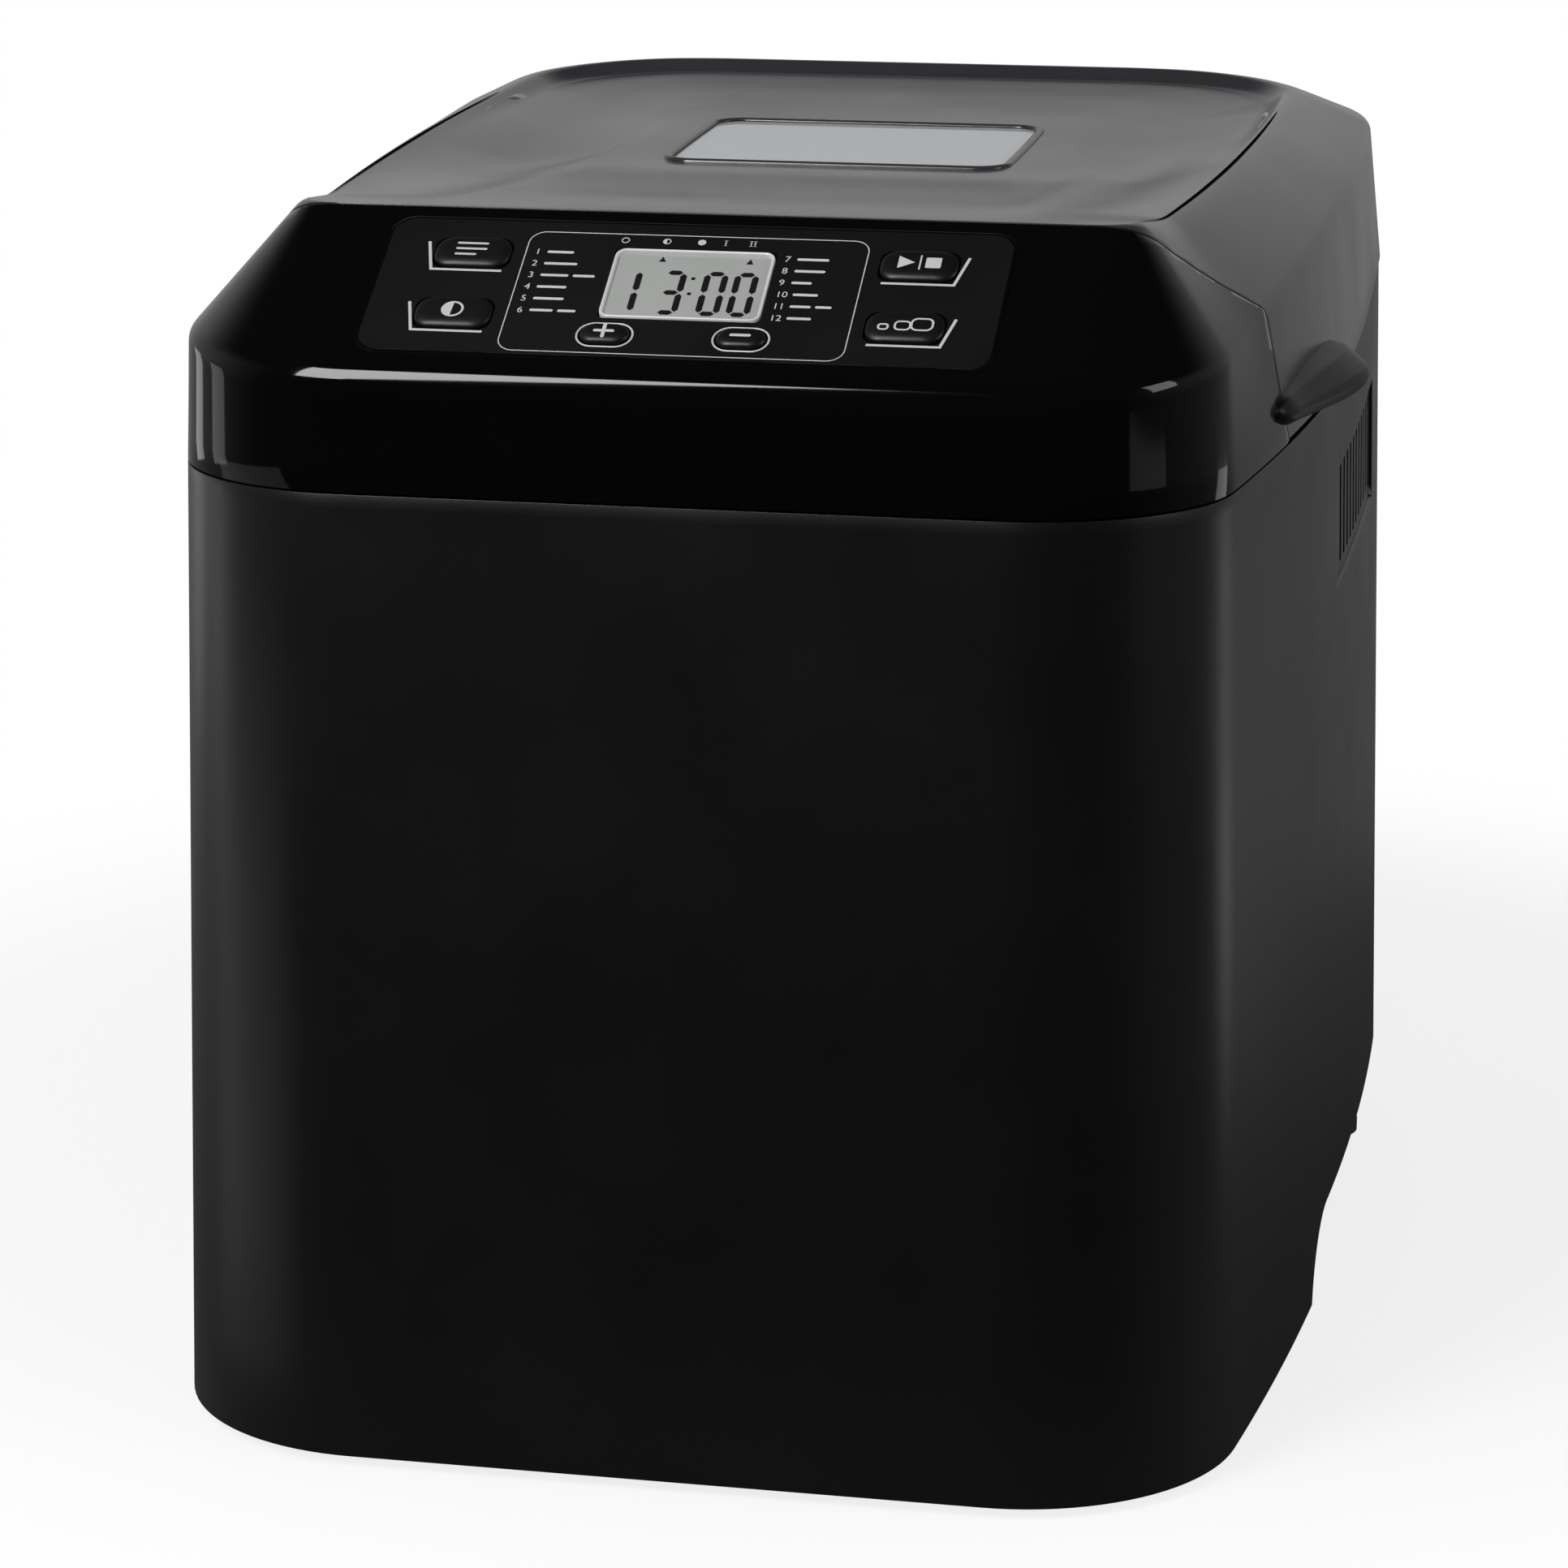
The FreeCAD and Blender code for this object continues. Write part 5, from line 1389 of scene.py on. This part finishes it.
def floor_finish():
    """Pale floor with the shadow, nearly white to the camera, dark in reflections, faded out at its edge."""
    material, tree, shader = new_finish("floor_pale")
    path = tree.nodes.new("ShaderNodeLightPath")
    tone = tree.nodes.new("ShaderNodeMix")
    tone.data_type = "RGBA"
    plain, mirrored, mixed = colour_sockets(tone)
    plain.default_value = (*settings().colours.floor, 1.0)
    mirrored.default_value = (FLOOR_MIRRORED, FLOOR_MIRRORED, FLOOR_MIRRORED, 1.0)
    link(tree, path, "Is Glossy Ray", tone, "Factor")
    tree.links.new(mixed, shader.inputs["Base Color"])
    shader.inputs["Roughness"].default_value = 0.9
    shader.inputs["Specular IOR Level"].default_value = 0.1
    place = tree.nodes.new("ShaderNodeTexCoord")
    reach = tree.nodes.new("ShaderNodeVectorMath")
    reach.operation = "LENGTH"
    fade = tree.nodes.new("ShaderNodeMapRange")
    fade.interpolation_type = "SMOOTHSTEP"
    for name, value in (("From Min", FLOOR_REACH), ("From Max", FLOOR_REACH * FLOOR_FADE_FROM)):
        fade.inputs[name].default_value = value
    moved = tree.nodes.new("ShaderNodeMapping")
    moved.inputs["Location"].default_value = (0.0, -FLOOR_BACK, 0.0)
    link(tree, place, "Object", moved, "Vector")
    link(tree, moved, "Vector", reach, 0)
    link(tree, reach, "Value", fade, "Value")
    seen = tree.nodes.new("ShaderNodeMath")
    seen.operation = "MAXIMUM"
    link(tree, path, "Is Camera Ray", seen, 0)
    link(tree, path, "Is Transmission Ray", seen, 1)
    share = tree.nodes.new("ShaderNodeMath")
    share.operation = "MULTIPLY"
    share.inputs[1].default_value = FLOOR_WHITE
    link(tree, seen, 0, share, 0)
    white = tree.nodes.new("ShaderNodeEmission")
    lit = tree.nodes.new("ShaderNodeMixShader")
    link(tree, share, 0, lit, 0)
    link(tree, shader, "BSDF", lit, 1)
    link(tree, white, "Emission", lit, 2)
    clear = tree.nodes.new("ShaderNodeBsdfTransparent")
    whole = tree.nodes.new("ShaderNodeMixShader")
    link(tree, fade, "Result", whole, 0)
    link(tree, clear, "BSDF", whole, 1)
    link(tree, lit, "Shader", whole, 2)
    link(tree, whole, "Shader", tree.nodes["Material Output"], "Surface")
    return material


def add_lamp(name, spot, aim, width, tall, power, gloss_only=False):
    """Rectangular soft lamp that faces a point; with gloss_only it is a card that shows in reflections."""
    lamp = bpy.data.lights.new(name, "AREA")
    lamp.shape = "RECTANGLE"
    lamp.size = width
    lamp.size_y = tall
    lamp.energy = power
    holder = bpy.data.objects.new(name, lamp)
    holder.location = spot
    holder.rotation_euler = (Vector(aim) - Vector(spot)).to_track_quat("-Z", "Y").to_euler()
    holder.visible_camera = False
    holder.visible_diffuse = not gloss_only
    bpy.context.scene.collection.objects.link(holder)


# Name, place, aim, width, height and power of each lamp, and of each card that only shows in reflections
MIDDLE = (0, 0, 0.15)
LAMPS = (
    ("front_soft", (-0.625, -1.13, 1.2), MIDDLE, 0.55, 0.9, 18),
    ("right_soft", (1.5, -0.2, 0.9), MIDDLE, 0.5, 0.7, 6),
)
CARDS = (
    ("front_card", (-0.615, -1.11, 1.18), MIDDLE, 0.55, 0.9, 20),
    ("left_card", (-1.05, 0.0, 0.06), (-0.1, -0.15, 0.2), 0.22, 0.24, 0.2),
    ("left_rear_card", (-0.95, 0.42, 0.08), (-0.11, -0.14, 0.2), 0.2, 0.26, 0.22),
    ("left_low_card", (-1.0, -0.4, -0.22), (-0.1, -0.14, 0.1), 0.9, 0.36, 0.5),
    ("right_low_card", (0.9, 0.9, -0.15), (0.12, 0.0, 0.1), 0.3, 0.3, 0.25),
    ("right_card", (1.05, -0.37, 0.03), (0.097, -0.15, 0.22), 0.42, 0.04, 0.03),
)
SENSOR_WIDTH = 36.0
LENS = 113.44
CAMERA_SPOT = (0.2204, -1.1029, 0.4066)
CAMERA_AIM = (-0.008, 0.0, 0.1107)


class BREAD_OT_stage(bpy.types.Operator):
    """Sets up floor, soft lamps, reflected cards, white surroundings and the camera"""

    bl_idname = "bread.stage"
    bl_label = "Stage"

    def execute(self, context):
        scene = context.scene
        scene.view_settings.view_transform = "Standard"
        studio_world()
        finishes["floor_pale"] = floor_finish()
        radii = np.linspace(0.01, 1, 12)[:, None]
        turns = np.linspace(0, 2 * math.pi, 72, endpoint=False)[None, :]
        points = np.stack(np.broadcast_arrays(FLOOR_REACH * radii * np.cos(turns),
                                              FLOOR_REACH * radii * np.sin(turns) + FLOOR_BACK,
                                              np.zeros_like(turns)), -1)
        faces = grid_faces(*points.shape[:2])[:, :, ::-1].reshape(-1, 4).tolist()
        faces.append(list(range(points.shape[1])))
        floor = add_piece("floor", points, faces, "floor_pale", smooth=False)
        for lamp in LAMPS:
            add_lamp(*lamp)
        for card in CARDS:
            add_lamp(*card, gloss_only=True)
        camera = bpy.data.cameras.new("camera")
        camera.sensor_width = SENSOR_WIDTH
        camera.lens = LENS
        holder = bpy.data.objects.new("camera", camera)
        holder.location = CAMERA_SPOT
        aim = Vector(CAMERA_AIM) - holder.location
        holder.rotation_euler = aim.to_track_quat("-Z", "Y").to_euler()
        scene.collection.objects.link(holder)
        scene.camera = holder
        return {"FINISHED"}


PIECES = (BREAD_OT_body_shell, BREAD_OT_upper_shells, BREAD_OT_rim_crease, BREAD_OT_thumb_tab,
          BREAD_OT_large_buttons, BREAD_OT_step_buttons, BREAD_OT_panel_print, BREAD_OT_plate_edge,
          BREAD_OT_display, BREAD_OT_window_rim, BREAD_OT_frame_finishes, BREAD_OT_stage)


class BREAD_PT_panel(bpy.types.Panel):
    """Lists the pieces, sizes and colours of the bread machine"""

    bl_idname = "BREAD_PT_panel"
    bl_label = "Bread Machine"
    bl_space_type = "VIEW_3D"
    bl_region_type = "UI"
    bl_category = "Bread Machine"

    def draw(self, context):
        for piece in PIECES:
            self.layout.operator(piece.bl_idname)
        machine = context.scene.bread_machine
        for group in (machine.shell, machine.vents, machine.panel, machine.tab, machine.colours):
            box = self.layout.box()
            for name in group.__annotations__:
                box.prop(group, name)


GROUPS = (ShellSizes, VentSizes, PanelSizes, TabSizes, Colours, BreadMachine)


def register():
    for item in (*GROUPS, *PIECES, BREAD_PT_panel):
        bpy.utils.register_class(item)
    bpy.types.Scene.bread_machine = bpy.props.PointerProperty(type=BreadMachine)


def unregister():
    del bpy.types.Scene.bread_machine
    for item in reversed((*GROUPS, *PIECES, BREAD_PT_panel)):
        bpy.utils.unregister_class(item)


def main():
    register()
    finishes.update(make_finishes())
    bpy.ops.bread.body_shell()
    bpy.ops.bread.upper_shells()
    bpy.ops.bread.rim_crease()
    bpy.ops.bread.thumb_tab()
    bpy.ops.bread.large_buttons()
    bpy.ops.bread.step_buttons()
    bpy.ops.bread.panel_print()
    bpy.ops.bread.plate_edge()
    bpy.ops.bread.display()
    bpy.ops.bread.window_rim()
    bpy.ops.bread.frame_finishes()
    bpy.ops.bread.stage()


if __name__ == "__main__":
    main()
